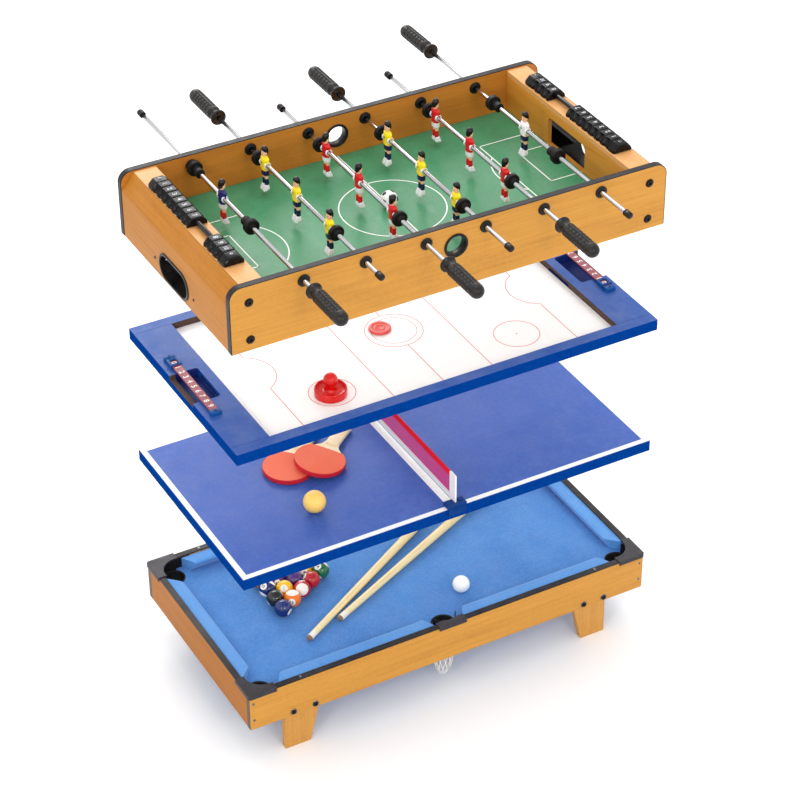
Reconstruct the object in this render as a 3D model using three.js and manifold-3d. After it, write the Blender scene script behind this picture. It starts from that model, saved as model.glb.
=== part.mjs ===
// Multi game table: a pool table on legs, and three tops that stand on it in turn.
// From the bottom up: pool base, ping-pong top, air-hockey top, foosball top.
// Millimetres, +X along the length, +Z up, +Y to the back, floor at Z 0.
// Each top is drawn in a group of its own whose Z 0 is that top's lowest face.

import * as THREE from 'three';
import { mergeVertices } from 'three/addons/utils/BufferGeometryUtils.js';
import Module from 'manifold-3d';

const wasm = await Module();
wasm.setup();

// Outline that the four games share
const caseLength = 810;
const caseWidth = 424;
const longBoard = 12;            // thickness of the long side panels
const endBoard = 9;              // thickness of the end panels
const fit = 0.3;                 // clearance wherever one piece is seated in or on another
const overrun = 2;               // how far a cutter runs past the face that it cuts
const weld = 1e-4;

// Free height between one top and the next, shown lifted off each other
const pingPongLift = 235;
const hockeyLift = 238;
const foosballLift = 194;

// Pool base
const legDrop = 85;              // floor to the underside of the pool case
const poolCaseHeight = 74.5;
const railTrimHeight = 2.5;
const capHeight = 4.5;           // moulded pocket caps stand over the trim
const capSkirt = 9;              // and hang down over the panel's face
const capWall = 2;
const cornerCapSide = 53;
const sideCapLength = 56;
const capArcRadius = 32;
const capArcInset = 47;          // from the case corner to the centre of the cap's arc
const bedTop = 53;
const bedThickness = 6;
const cornerPocketInsetX = 35;
const cornerPocketInsetY = 35;
const sidePocketInset = 35;
const pocketRadius = 21;
const cushionWidth = 28;
const cushionDrop = 3.5;         // from the trim's top to the cushion's top
const cushionUndercut = 9;
const endCushionInset = 50;      // from the case corner to the end cushion, along the rail
const endCushionBevel = 28;      // and how far its nose is shorter there
const longCushionInset = 62;
const longCushionBevel = 17;
const sideCushionBevel = 13;     // the same beside a side pocket
const legTopWidth = 70;
const legFootWidth = 50;
const legThickness = 14;
const legInset = 72;             // from the case end to the leg's upright edge
const legTopHeight = 40;
const legBoltInset = 12;
const legBoltPitch = 43;
const legBoltHeight = 8;
const boltHeadRadius = 5;
const boltHeadHeight = 2.4;
const nailHeadRadius = 2.6;
const nailHeadHeight = 1;
const nailInset = 7.5;
const nailLow = 21;
const nailHigh = 58;
const poolBallRadius = 16;
const rackRows = 5;
const rackApexX = -132;
const rackApexY = 46;
const cueBallX = 73;
const cueBallY = -115;
const cueLength = 530;
const cueTipRadius = 6;
const cueButtRadius = 9;
const cueFerruleLength = 16;
const cueRound = 2;
const leftCueEndInset = 182;     // from the case's end and side to each cue's butt
const leftCueSideInset = 53;
const rightCueEndInset = 87.3;
const rightCueSideInset = 72.9;
const ballTouch = 0.4;           // racked balls are pressed together by this much

// Ping-pong top
const pingPongThickness = 22;
const pingPongEdgeBevel = 1;
const netX = 6;                  // the net stands a little to the right of the cross line
const netBandBottom = 2;         // the net hangs clear of the board
const netTop = 64;
const netTopBand = 13;
const netBottomBand = 20;
const netInset = 22;              // from the case's side to the net's end
const netThickness = 1.2;
const netCord = 2.2;
const netPostWidth = 18;
const netPostThickness = 3;
const netFootLength = 36;
const netFootWidth = 16;
const netFootHeight = 8;
const netClipDrop = 12;
const netClipWall = 3;
const racketRadius = 46;
const racketWood = 5;
const racketRubber = 2;
const racketHandleLength = 78;
const racketNeckStart = 34;      // from the blade's centre to the straight edge of the rubber
const racketNeckReach = 12;
const racketGripStart = 4;
const racketEdge = 0.5;
const racketSwing = 40;          // where the grips point, in degrees from +X
const racketLean = 8;            // how far the second racket leans on the first, in degrees
const topRacketRise = 10.8;
const racketHandleWidth = 26;
const racketHandleThickness = 11;
const racketNeckWidth = 40;
const lowRacketX = -199;
const lowRacketY = 27;
const topRacketX = -148;
const topRacketY = 6;
const pingPongBallRadius = 20;
const pingPongBallX = -213;
const pingPongBallY = -101;

// Air-hockey top
const hockeyHeight = 21;
const hockeyRailWidth = 22;
const hockeyEndWidth = 70;
const hockeyFieldTop = 8;
const hockeyFieldThickness = 4;
const hockeyGoalWidth = 66;
const hockeyGoalHeight = 7;
const returnPocketLength = 94;
const returnPocketInner = 52;    // from the case end to the pocket's inner edge
const returnPocketOuter = 10;
const returnPocketFloor = 4;
const notchDepth = 8;
const scoreStripInset = 21;
const scoreStripWidth = 15;
const scoreStripThickness = 2;
const scoreStripLift = 3;        // free height under the strip for the slider's belt
const scoreStripMargin = 12;     // from an end digit's middle to the strip's end
const scoreDigitPitch = 16;
const scoreDigitCount = 10;
const stripCapLength = 12;
const stripCapHeight = 7;
const sliderLength = 20;
const sliderWall = 2.6;
const sliderHeight = 8;
const sliderWindow = 12;
const puckRadius = 20;
const puckHeight = 5;
const puckX = -20;
const puckY = 14;
const pusherRadius = 28;
const pusherHeight = 33;
const pusherX = -185;
const pusherY = -118;

// Foosball top
const foosballHeight = 120;
const panelCornerRadius = 22;
const fieldTop = 40;
const fieldThickness = 4;
const goalWallInset = 65;        // from the case end to the goal wall's inner face
const goalWidth = 120;
const goalHeight = 52;
const endTopHeight = 117;
const topBoardThickness = 9;
const endFaceInset = 1;
const endBevelTopInset = 24;
const endBevelHeight = 86;
const exitLength = 106;
const exitHeight = 46;
const exitBottom = 6;
const exitRimWidth = 3;
const exitRimStand = 1.5;
const exitTrayWall = 2;
const exitTrayDepth = 44;
const goalCornerRadius = 12;
const feedHoleHeight = 80;
const feedRingBore = 17.5;
const feedFlangeRadius = 22;
const feedFlangeThickness = 2.5;
const panelBoltInset = 34;
const panelBoltLow = 20;
const panelBoltHigh = 89;
const exitScrewReach = 74;
const exitScrewHeight = 26;
const endRodInset = 130;         // from the case end to the first rod
const rodHeight = 100;
const rodRadius = 4;
const bushBore = 4.8;
const bushFlangeRadius = 10;
const bushFlangeThickness = 4;
const flangeTaper = 1;
const footballRadius = 15;
const footballX = -4;
const footballY = 5;

// Score counters of the foosball top
const beadCount = 10;
const beadsScored = 7;
const beadLength = 19;
const beadHeight = 15;
const beadWidth = 37;
const beadTopWidth = 19;
const beadBevel = 1.5;
const beadStandoff = 0.6;
const beadShoulderShare = 0.35;
const counterScrewRadius = 3;
const counterRodRadius = 3.5;
const counterRodRise = 7;        // rod centre over the top board
const counterInset = 44;         // rod centre from the case end
const counterGap = 58;           // bare rod between the two rows of beads
const counterBracket = 20;

// Rods, pushed to the middle: how far their ends stand off the case's sides, and how far their
// stops lie from the panels' inner faces
const rodCapStand = 82;
const rodFlangeStand = 84;
const goalieCapStand = 119;
const goalieFlangeStand = 113;
const stopInset = 58;
const goalieStopInset = 102;
const manStopGap = 25;           // from an outer man to the stop beside him
const stopRadius = 13.5;
const stopLength = 14;
const stopDiscLength = 9;
const stopHubRadius = 8.5;
const goalieStopLength = 28;
const goalieDiscLength = 12;
const endCapRadius = 6;
const endCapLength = 15;
const gripFlangeRadius = 14;
const gripFlangeThickness = 5;
const gripNeckRadius = 8;
const gripNeckLength = 6;
const gripRadius = 12.5;
const gripLength = 93;
const gripGroove = 1.2;
const gripRibs = 4;
const gripRounding = 4.5;
const gripWall = 3;

// Players, measured from the rod's centre
const manHead = 33.5;
const manFoot = 51;
const manWidth = 23;
const manDepth = 15;
const bootWidth = 17;
const bootDepth = 11;
const bootHeight = 10;
const bootLean = 1.5;

// Facets
const roundSides = 8;
const fineSides = 16;
const ballSides = 12;
const headSides = 6;
const arcSegments = 5;

// Each rod: which side its handle is on (-1 front, 1 back), how far the rod is pushed to the back,
// which way its men look (1 is +X), and whether it is a goalkeeper's rod
const rods = [
  { handle: -1, pushShare: 0.96, looks: 1, goalie: true },
  { handle: 1, pushShare: 0.58, looks: -1, goalie: false },
  { handle: -1, pushShare: 0.34, looks: 1, goalie: false },
  { handle: 1, pushShare: 0, looks: -1, goalie: false },
  { handle: -1, pushShare: 0.62, looks: 1, goalie: false },
  { handle: 1, pushShare: 0.36, looks: -1, goalie: true },
];

// Levels that follow from the sizes above
const halfLength = caseLength / 2;
const halfWidth = caseWidth / 2;
const poolRimTop = poolCaseHeight + capHeight;
const pingPongBase = legDrop + poolRimTop + pingPongLift;
const hockeyBase = pingPongBase + pingPongThickness + hockeyLift;
const foosballBase = hockeyBase + hockeyHeight + foosballLift;
const innerHalfWidth = halfWidth - longBoard;
const netSpan = caseWidth - netInset * 2;
const scoreStripLength = scoreDigitPitch * (scoreDigitCount - 1) + scoreStripMargin * 2;

// Reaches along a rod, from its middle man
const rodCapReach = halfWidth + rodCapStand;
const rodFlangeReach = halfWidth + rodFlangeStand;
const goalieRodCapReach = halfWidth + goalieCapStand;
const goalieRodFlangeReach = halfWidth + goalieFlangeStand;
const stopReach = innerHalfWidth - stopInset;
const goalieStopReach = innerHalfWidth - goalieStopInset;
const menPitch = stopReach - manStopGap;

const colours = {
  oak: 0xe0a04a, paleOak: 0xf2c98c, edge: 0x5a5250, green: 0x4f9470, black: 0x242022,
  yellow: 0xf2dc10, red: 0xc8101c, blue: 0x4a70b8, darkBlue: 0x0b4596,
  white: 0xf4f4f2, navy: 0x1c2350, maroon: 0x9c4a50, cloth: 0x5f93cf,
  wood: 0xf0dca8, ballYellow: 0xfbc850,
};

const root = new THREE.Group();

function paint(colour, roughness, metalness = 0) {
  return new THREE.MeshStandardMaterial({ color: colour, roughness, metalness });
}

// Solids and booleans

function signedVolume(geometry) {
  const place = geometry.getAttribute('position');
  const corner = [new THREE.Vector3(), new THREE.Vector3(), new THREE.Vector3()];
  let total = 0;
  for (let i = 0; i < geometry.index.count; i += 3) {
    corner.forEach((c, k) => c.fromBufferAttribute(place, geometry.index.getX(i + k)));
    total += corner[0].dot(corner[1].cross(corner[2]));
  }
  return total;
}

// A closed geometry as a solid: shared corners are merged, faces turned out, empty faces dropped
function solid(source) {
  const bare = source.clone();
  for (const name of Object.keys(bare.attributes)) if (name !== 'position') bare.deleteAttribute(name);
  const merged = mergeVertices(bare, weld);
  const inward = signedVolume(merged) < 0;
  const triangles = [];
  for (let i = 0; i < merged.index.count; i += 3) {
    const [a, b, c] = [0, 1, 2].map((k) => merged.index.getX(i + k));
    if (a !== b && b !== c && a !== c) triangles.push(a, inward ? c : b, inward ? b : c);
  }
  return new wasm.Manifold(new wasm.Mesh({
    numProp: 3,
    vertProperties: new Float32Array(merged.getAttribute('position').array),
    triVerts: new Uint32Array(triangles),
  }));
}

function join(list) {
  return list.reduce((whole, piece) => whole.add(piece));
}

function geometryOf(body) {
  const mesh = body.getMesh();
  const geometry = new THREE.BufferGeometry();
  geometry.setAttribute('position', new THREE.BufferAttribute(new Float32Array(mesh.vertProperties), 3));
  geometry.setIndex(new THREE.BufferAttribute(new Uint32Array(mesh.triVerts), 1));
  const shown = geometry.toNonIndexed();
  shown.computeVertexNormals();
  return shown;
}

function node(parent, name, body, material) {
  const mesh = new THREE.Mesh(geometryOf(Array.isArray(body) ? join(body) : body), material);
  mesh.name = name;
  parent.add(mesh);
  return mesh;
}

// A block between two opposite corners
function block(x0, x1, y0, y1, z0, z1) {
  const box = new THREE.BoxGeometry(x1 - x0, y1 - y0, z1 - z0);
  box.translate((x0 + x1) / 2, (y0 + y1) / 2, (z0 + z1) / 2);
  return solid(box);
}

// A cylinder along 'x', 'y' or 'z' that starts at (x, y, z)
function bar(axis, x, y, z, radius, length, sides = roundSides, endRadius = radius) {
  const round = new THREE.CylinderGeometry(endRadius, radius, length, sides);
  round.translate(0, length / 2, 0);
  if (axis === 'x') round.rotateZ(-Math.PI / 2);
  if (axis === 'z') round.rotateX(Math.PI / 2);
  round.translate(x, y, z);
  return solid(round);
}

function pushed(shape, depth) {
  return new THREE.ExtrudeGeometry(shape, { depth, bevelEnabled: false, curveSegments: arcSegments });
}

// An outline in X and Z pushed along Y, from y0 to y0 + thickness
function plateXZ(shape, thickness, y0) {
  const plate = pushed(shape, thickness);
  plate.rotateX(Math.PI / 2);
  plate.translate(0, y0 + thickness, 0);
  return solid(plate);
}

// An outline in Y and Z pushed along X, from x0 to x0 + thickness
function plateYZ(shape, thickness, x0) {
  const plate = pushed(shape, thickness);
  const axes = [new THREE.Vector3(0, 1, 0), new THREE.Vector3(0, 0, 1), new THREE.Vector3(1, 0, 0)];
  plate.applyMatrix4(new THREE.Matrix4().makeBasis(...axes));
  plate.translate(x0, 0, 0);
  return solid(plate);
}

// An outline in X and Y pushed up, from z0 to z0 + thickness
function plateXY(shape, thickness, z0) {
  const plate = pushed(shape, thickness);
  plate.translate(0, 0, z0);
  return solid(plate);
}

// A turned piece: outline pairs of radius and place along the axis, from axis to axis or closed
function turned(outline, axis, sides = roundSides) {
  const points = outline.map(([radius, along]) => new THREE.Vector2(radius, along));
  const piece = new THREE.LatheGeometry(points, sides);
  if (axis === 'z') piece.rotateX(Math.PI / 2);
  return solid(piece);
}

function outlineOf(points) {
  return new THREE.Shape(points.map(([u, v]) => new THREE.Vector2(u, v)));
}

function roundHole(u, v, radius) {
  const hole = new THREE.Path();
  hole.absarc(u, v, radius, 0, Math.PI * 2, true);
  return hole;
}

// A closed skin over rings with the same number of points, from first ring to last
function loft(rings) {
  const count = rings[0].length;
  const points = rings.flat();
  const faces = [];
  for (let r = 0; r + 1 < rings.length; r += 1) {
    for (let i = 0; i < count; i += 1) {
      const a = r * count + i;
      const b = r * count + (i + 1) % count;
      faces.push(a, b, b + count, a, b + count, a + count);
    }
  }
  const last = (rings.length - 1) * count;
  for (let i = 1; i + 1 < count; i += 1) {
    faces.push(0, i + 1, i);
    faces.push(last, last + i, last + i + 1);
  }
  const skin = new THREE.BufferGeometry();
  const numbers = new Float32Array(points.flatMap((point) => point.toArray()));
  skin.setAttribute('position', new THREE.BufferAttribute(numbers, 3));
  skin.setIndex(faces);
  return solid(skin);
}

// Pool base

const poolGroup = new THREE.Group();
poolGroup.position.z = legDrop;
root.add(poolGroup);

const railTop = poolCaseHeight + railTrimHeight;
const cornerPocketX = halfLength - cornerPocketInsetX;
const cornerPocketY = halfWidth - cornerPocketInsetY;
const sidePocketY = halfWidth - sidePocketInset;
const pocketPlaces = [
  [-cornerPocketX, -cornerPocketY], [0, -sidePocketY], [cornerPocketX, -cornerPocketY],
  [-cornerPocketX, cornerPocketY], [0, sidePocketY], [cornerPocketX, cornerPocketY],
];

// A cushion runs from outerStart to outerEnd along a rail at Y 0; its ends are cut back towards
// the nose, and the nose is undercut
function cushion(outerStart, outerEnd, startBevel, endBevel) {
  const top = railTop - cushionDrop;
  const plan = (nose, z) => [
    new THREE.Vector3(outerStart, -fit, z),
    new THREE.Vector3(outerEnd, -fit, z),
    new THREE.Vector3(outerEnd - endBevel * nose / cushionWidth, nose, z),
    new THREE.Vector3(outerStart + startBevel * nose / cushionWidth, nose, z),
  ];
  return loft([
    plan(cushionWidth - cushionUndercut, bedTop + fit),
    plan(cushionWidth, top - cushionDrop),
    plan(cushionWidth - cushionDrop, top),
  ]);
}

// Each rail is a panel with its cushions glued to the inner face and its bolt heads outside
function poolRails() {
  const sideStart = sideCapLength / 2;
  const half = cushion(sideStart, halfLength - longCushionInset, sideCushionBevel, longCushionBevel)
    .translate([0, -innerHalfWidth, 0]);
  const panel = block(-halfLength, halfLength, -halfWidth, -innerHalfWidth, 0, poolCaseHeight);
  const heads = join(poolBoltHeads());
  const front = join([panel, half, half.mirror([1, 0, 0]), heads, heads.mirror([1, 0, 0])]);
  node(poolGroup, 'pool_front_rail', front, paint(colours.oak, 0.45));
  node(poolGroup, 'pool_back_rail', front.mirror([0, 1, 0]), paint(colours.oak, 0.45));
  const reach = innerHalfWidth - fit;
  const face = halfLength - fit - endBoard;
  const board = block(-halfLength + fit, -face, -reach, reach, 0, poolCaseHeight);
  const endHalf = halfWidth - endCushionInset;
  const nose = cushion(-endHalf, endHalf, endCushionBevel, endCushionBevel)
    .rotate([0, 0, -90])
    .translate([-face, 0, 0]);
  const end = board.add(nose);
  node(poolGroup, 'pool_left_rail', end, paint(colours.oak, 0.45));
  node(poolGroup, 'pool_right_rail', end.mirror([1, 0, 0]), paint(colours.oak, 0.45));
}

// The heads on one half of a long panel: two leg bolts and two corner nails
function poolBoltHeads() {
  const bolt = boltHead(boltHeadRadius, boltHeadHeight);
  const nail = boltHead(nailHeadRadius, nailHeadHeight);
  const boltX = halfLength - legInset - legBoltInset;
  const nailX = halfLength - nailInset;
  return [
    ...[0, 1].map((i) => bolt.translate([boltX - legBoltPitch * i, -halfWidth, legBoltHeight])),
    ...[nailLow, nailHigh].map((z) => nail.translate([nailX, -halfWidth, z])),
  ];
}

function poolBed() {
  const x = halfLength - endBoard - fit * 2;
  const y = innerHalfWidth - fit;
  const shape = outlineOf([[-x, -y], [x, -y], [x, y], [-x, y]]);
  pocketPlaces.forEach(([px, py]) => shape.holes.push(roundHole(px, py, pocketRadius)));
  const bed = plateXY(shape, bedThickness, bedTop - bedThickness);
  node(poolGroup, 'pool_bed', bed, paint(colours.cloth, 0.95));
}

// The rail frame: trim strips on the panels, joined by a moulded cap at each pocket
function railFrame() {
  const low = poolCaseHeight + fit;
  const tuck = cornerCapSide - overrun;
  const reachX = halfLength - tuck;
  const reach = halfWidth - tuck;
  const stripY = block(-reachX, reachX, -halfWidth, -innerHalfWidth, low, railTop);
  const stripX = block(-halfLength, -halfLength + longBoard, -reach, reach, low, railTop);
  const strips = [stripY, stripY.mirror([0, 1, 0]), stripX, stripX.mirror([1, 0, 0])];
  const all = [...strips, ...cornerCaps(low), ...sideCaps(low)];
  const mouths = pocketPlaces.filter(([x]) => x === 0)
    .map(([x, y]) => bar('z', x, y, low - overrun, pocketRadius, capHeight + overrun * 2, fineSides));
  node(poolGroup, 'pool_rail_frame', join(all).subtract(join(mouths)), paint(colours.edge, 0.45));
}

// A corner cap is an L with a hollow curve to the pocket and a skirt down both faces
function cornerCaps(low) {
  const out = capWall + fit;
  const cornerX = halfLength + out;
  const cornerY = halfWidth + out;
  const startX = halfLength - cornerCapSide;
  const startY = halfWidth - cornerCapSide;
  const skirtLow = poolRimTop - capSkirt;
  const curve = bar('z', halfLength - capArcInset, halfWidth - capArcInset, low - overrun,
    capArcRadius, capHeight + overrun * 2, fineSides);
  const plate = block(startX, cornerX, startY, cornerY, low, poolRimTop).subtract(curve);
  const skirtX = block(halfLength + fit, cornerX, startY, cornerY, skirtLow, low + fit);
  const skirtY = block(startX, cornerX, halfWidth + fit, cornerY, skirtLow, low + fit);
  const cap = join([plate, skirtX, skirtY]);
  return [cap, cap.mirror([1, 0, 0]), cap.mirror([0, 1, 0]), cap.mirror([1, 0, 0]).mirror([0, 1, 0])];
}

function sideCaps(low) {
  const half = sideCapLength / 2;
  const outside = halfWidth + capWall + fit;
  const plate = block(-half, half, innerHalfWidth - capWall, outside, low, poolRimTop);
  const skirt = block(-half, half, halfWidth + fit, outside, poolRimTop - capSkirt, low + fit);
  const cap = plate.add(skirt);
  return [cap, cap.mirror([0, 1, 0])];
}

// Legs are boards whose inner edge slopes in towards the foot, bolted inside the long panels
function poolLegs() {
  const upright = halfLength - legInset;
  const innerTop = upright - legTopWidth;
  const innerFoot = upright - legFootWidth;
  const shape = outlineOf([
    [upright, -legDrop], [upright, legTopHeight], [innerTop, legTopHeight],
    [innerTop, 0], [innerFoot, -legDrop],
  ]);
  const leg = plateXZ(shape, legThickness, -innerHalfWidth + fit);
  node(poolGroup, 'leg_front_right', leg, paint(colours.oak, 0.45));
  node(poolGroup, 'leg_front_left', leg.mirror([1, 0, 0]), paint(colours.oak, 0.45));
  node(poolGroup, 'leg_back_right', leg.mirror([0, 1, 0]), paint(colours.oak, 0.45));
  node(poolGroup, 'leg_back_left', leg.rotate([0, 0, 180]), paint(colours.oak, 0.45));
}

const headRimShare = 0.55;

// A domed head that stands out to the front, towards -Y, and is let into the face behind it
function boltHead(radius, height) {
  const rim = radius * headRimShare;
  const outline = [[0, fit], [radius, fit], [radius, -height / 2], [rim, -height], [0, -height]];
  return turned(outline, 'y', headSides);
}

// Fifteen balls racked in a triangle whose point looks to the middle of the table
function poolBalls() {
  const ball = solid(new THREE.SphereGeometry(poolBallRadius, ballSides, ballSides / 2));
  const pitch = poolBallRadius * 2 - ballTouch;
  const height = bedTop + poolBallRadius + fit;
  const rack = [];
  for (let row = 0; row < rackRows; row += 1) {
    for (let place = 0; place <= row; place += 1) {
      const x = rackApexX - row * pitch * Math.sin(Math.PI / 3);
      const y = rackApexY + (place - row / 2) * pitch;
      rack.push(ball.rotate([-90, 0, 0]).rotate([0, 0, 30]).translate([x, y, height]));
    }
  }
  node(poolGroup, 'racked_balls', rack, paint(colours.red, 0.12));
  const cueBall = ball.rotate([-90, 0, 0]).translate([cueBallX, cueBallY, height]);
  node(poolGroup, 'cue_ball', cueBall, paint(colours.white, 0.15));
}

// Two cues laid on the cloth, tips to the front left
const cues = [
  { name: 'cue_left', endInset: leftCueEndInset, sideInset: leftCueSideInset, turn: 30 },
  { name: 'cue_right', endInset: rightCueEndInset, sideInset: rightCueSideInset, turn: 24.9 },
];

function poolCues() {
  const cue = turned([
    [0, 0], [cueTipRadius - cueRound, 0], [cueTipRadius, cueRound], [cueTipRadius, cueFerruleLength],
    [cueButtRadius, cueLength - cueRound], [cueButtRadius - cueRound, cueLength], [0, cueLength],
  ], 'y');
  const dip = THREE.MathUtils.radToDeg(Math.atan2(cueButtRadius - cueTipRadius, cueLength));
  const level = bedTop + cueTipRadius + fit * 2;
  cues.forEach(({ name, endInset, sideInset, turn }) => {
    const angle = THREE.MathUtils.degToRad(turn);
    const tipX = halfLength - endInset - cueLength * Math.cos(angle);
    const tipY = halfWidth - sideInset - cueLength * Math.sin(angle);
    const laid = cue.rotate([dip, 0, turn - 90]).translate([tipX, tipY, level]);
    node(poolGroup, name, laid, paint(colours.wood, 0.35));
  });
}

poolRails();
poolBed();
railFrame();
poolLegs();
poolBalls();
poolCues();

// Ping-pong top

const pingPongGroup = new THREE.Group();
pingPongGroup.position.z = pingPongBase;
root.add(pingPongGroup);

function pingPongBoard() {
  const ring = (inset, z) => [[-1, -1], [1, -1], [1, 1], [-1, 1]].map(([sx, sy]) =>
    new THREE.Vector3(sx * (halfLength - inset), sy * (halfWidth - inset), z));
  const board = loft([
    ring(pingPongEdgeBevel, 0), ring(0, pingPongEdgeBevel),
    ring(0, pingPongThickness - pingPongEdgeBevel), ring(pingPongEdgeBevel, pingPongThickness),
  ]);
  node(pingPongGroup, 'ping_pong_board', board, paint(colours.blue, 0.5));
}

// The net: a top band, an open mesh and a bottom band, on two posts in clips that grip the board
const netColumns = 20;
const netRows = 3;

function netSheet() {
  const half = netSpan / 2;
  const x = netThickness / 2;
  const low = pingPongThickness + netBandBottom;
  const high = pingPongThickness + netTop;
  const meshLow = low + netBottomBand;
  const meshHigh = high - netTopBand;
  const stepY = (netSpan - netCord) / netColumns;
  const stepZ = (meshHigh - meshLow) / netRows;
  const pieces = [block(-x, x, -half, half, low, meshLow), block(-x, x, -half, half, meshHigh, high)];
  for (let c = 0; c <= netColumns; c += 1) {
    const y = -half + c * stepY;
    pieces.push(block(-x, x, y, y + netCord, meshLow - netCord, meshHigh + netCord));
  }
  for (let r = 1; r < netRows; r += 1) {
    const z = meshLow + r * stepZ;
    pieces.push(block(-x, x, -half, half, z - netCord / 2, z + netCord / 2));
  }
  return join(pieces);
}

function netPost() {
  const y0 = netSpan / 2 - netCord;
  const y1 = netSpan / 2 + netPostWidth;
  const top = pingPongThickness;
  const x = netPostThickness / 2;
  const foot = netFootLength / 2;
  const inside = halfWidth + fit - netFootWidth;
  const outside = halfWidth + fit + netClipWall;
  return join([
    block(-x, x, y0, y1, top + netFootHeight / 2, top + netTop),
    block(-foot, foot, inside, outside, top + fit, top + netFootHeight),
    block(-foot, foot, halfWidth + fit, outside, top - netClipDrop, top + netFootHeight),
  ]);
}

function pingPongNet() {
  const post = netPost();
  const net = join([netSheet(), post, post.mirror([0, 1, 0])]);
  node(pingPongGroup, 'net', net.translate([netX, 0, 0]), paint(colours.red, 0.8));
}

// A racket lies along +X from its blade's centre: a wooden blade with a neck and a grip, and a
// rubber sheet on each face
function racket() {
  const woodLow = racketRubber;
  const neckEnd = racketRadius + racketNeckReach;
  const blade = bar('z', 0, 0, woodLow, racketRadius, racketWood, fineSides);
  const neck = plateXY(outlineOf([
    [racketNeckStart, -racketNeckWidth / 2], [neckEnd, -racketHandleWidth / 2],
    [neckEnd, racketHandleWidth / 2], [racketNeckStart, racketNeckWidth / 2],
  ]), racketWood, woodLow);
  const middle = woodLow + racketWood / 2;
  const half = racketHandleThickness / 2;
  const grip = block(racketRadius + racketGripStart, racketRadius + racketHandleLength,
    -racketHandleWidth / 2, racketHandleWidth / 2, middle - half, middle + half);
  const stack = racketRubber * 2 + racketWood;
  const rubber = bar('z', 0, 0, 0, racketRadius - racketEdge, stack, fineSides)
    .intersect(block(-racketRadius, racketNeckStart, -racketRadius, racketRadius, 0, stack));
  return join([blade, neck, grip, rubber]);
}

// One racket lies flat on its grip, and the other leans on it
function rackets() {
  const lift = (racketHandleThickness - racketWood) / 2 - racketRubber + fit;
  const low = racket().rotate([0, 0, racketSwing])
    .translate([lowRacketX, lowRacketY, pingPongThickness + lift]);
  const heading = THREE.MathUtils.radToDeg(Math.atan2(lowRacketY - topRacketY, lowRacketX - topRacketX));
  const top = racket().rotate([0, 0, racketSwing - heading])
    .rotate([0, -racketLean, 0])
    .rotate([0, 0, heading])
    .translate([topRacketX, topRacketY, pingPongThickness + topRacketRise]);
  node(pingPongGroup, 'racket_left', low, paint(colours.red, 0.6));
  node(pingPongGroup, 'racket_right', top, paint(colours.red, 0.6));
}

function pingPongBall() {
  const ball = solid(new THREE.SphereGeometry(pingPongBallRadius, fineSides, roundSides));
  const place = [pingPongBallX, pingPongBallY, pingPongThickness + pingPongBallRadius + fit];
  node(pingPongGroup, 'ping_pong_ball', ball.translate(place), paint(colours.ballYellow, 0.4));
}

pingPongBoard();
pingPongNet();
rackets();
pingPongBall();

// Air-hockey top

const hockeyGroup = new THREE.Group();
hockeyGroup.position.z = hockeyBase;
root.add(hockeyGroup);

// The board: a sunken field inside four rails, with a return pocket, a goal slot and a finger
// notch in each end rail
function hockeyBoard() {
  const inner = halfWidth - hockeyRailWidth;
  const innerX = halfLength - hockeyEndWidth;
  const slab = block(-halfLength, halfLength, -halfWidth, halfWidth, 0, hockeyHeight);
  const well = block(-innerX, innerX, -inner, inner, hockeyFieldTop, hockeyHeight + overrun);
  const under = block(-innerX, innerX, -inner, inner, -overrun, hockeyFieldTop - hockeyFieldThickness);
  const pocketHalf = returnPocketLength / 2;
  const goalHalf = hockeyGoalWidth / 2;
  const pocketInner = halfLength - returnPocketInner;
  const pocketOuter = halfLength - returnPocketOuter;
  const above = hockeyHeight + overrun;
  const pocket = block(pocketInner, pocketOuter, -pocketHalf, pocketHalf, returnPocketFloor, above);
  const notch = block(pocketOuter - overrun, halfLength + overrun, -pocketHalf, pocketHalf,
    hockeyHeight - notchDepth, above);
  const goal = block(innerX - overrun, pocketInner + overrun, -goalHalf, goalHalf,
    hockeyFieldTop, hockeyFieldTop + hockeyGoalHeight);
  const end = join([pocket, notch, goal]);
  const board = slab.subtract(join([well, under, end, end.rotate([0, 0, 180])]));
  node(hockeyGroup, 'hockey_board', board, paint(colours.blue, 0.35));
}

// A score strip bridges the return pocket between two caps, and a slider rides round it
const stripX = -halfLength + scoreStripInset;
const stripBottom = hockeyHeight + fit + scoreStripLift;
const stripTop = stripBottom + scoreStripThickness;
const sliderReach = scoreDigitPitch * (scoreDigitCount - 1) / 2;

function scoreStrips() {
  const half = scoreStripWidth / 2;
  const reach = scoreStripLength / 2;
  const capHalf = half + sliderWall;
  const capStart = reach + fit;
  const stripEnd = capStart + overrun;
  const strip = block(stripX - half, stripX + half, -stripEnd, stripEnd, stripBottom, stripTop);
  const cap = block(stripX - capHalf, stripX + capHalf, capStart, capStart + stripCapLength,
    hockeyHeight + fit, hockeyHeight + stripCapHeight);
  const left = join([strip, cap, cap.mirror([0, 1, 0])]);
  node(hockeyGroup, 'score_strip_left', left, paint(colours.maroon, 0.5));
  node(hockeyGroup, 'score_strip_right', left.rotate([0, 0, 180]), paint(colours.maroon, 0.5));
}

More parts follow.
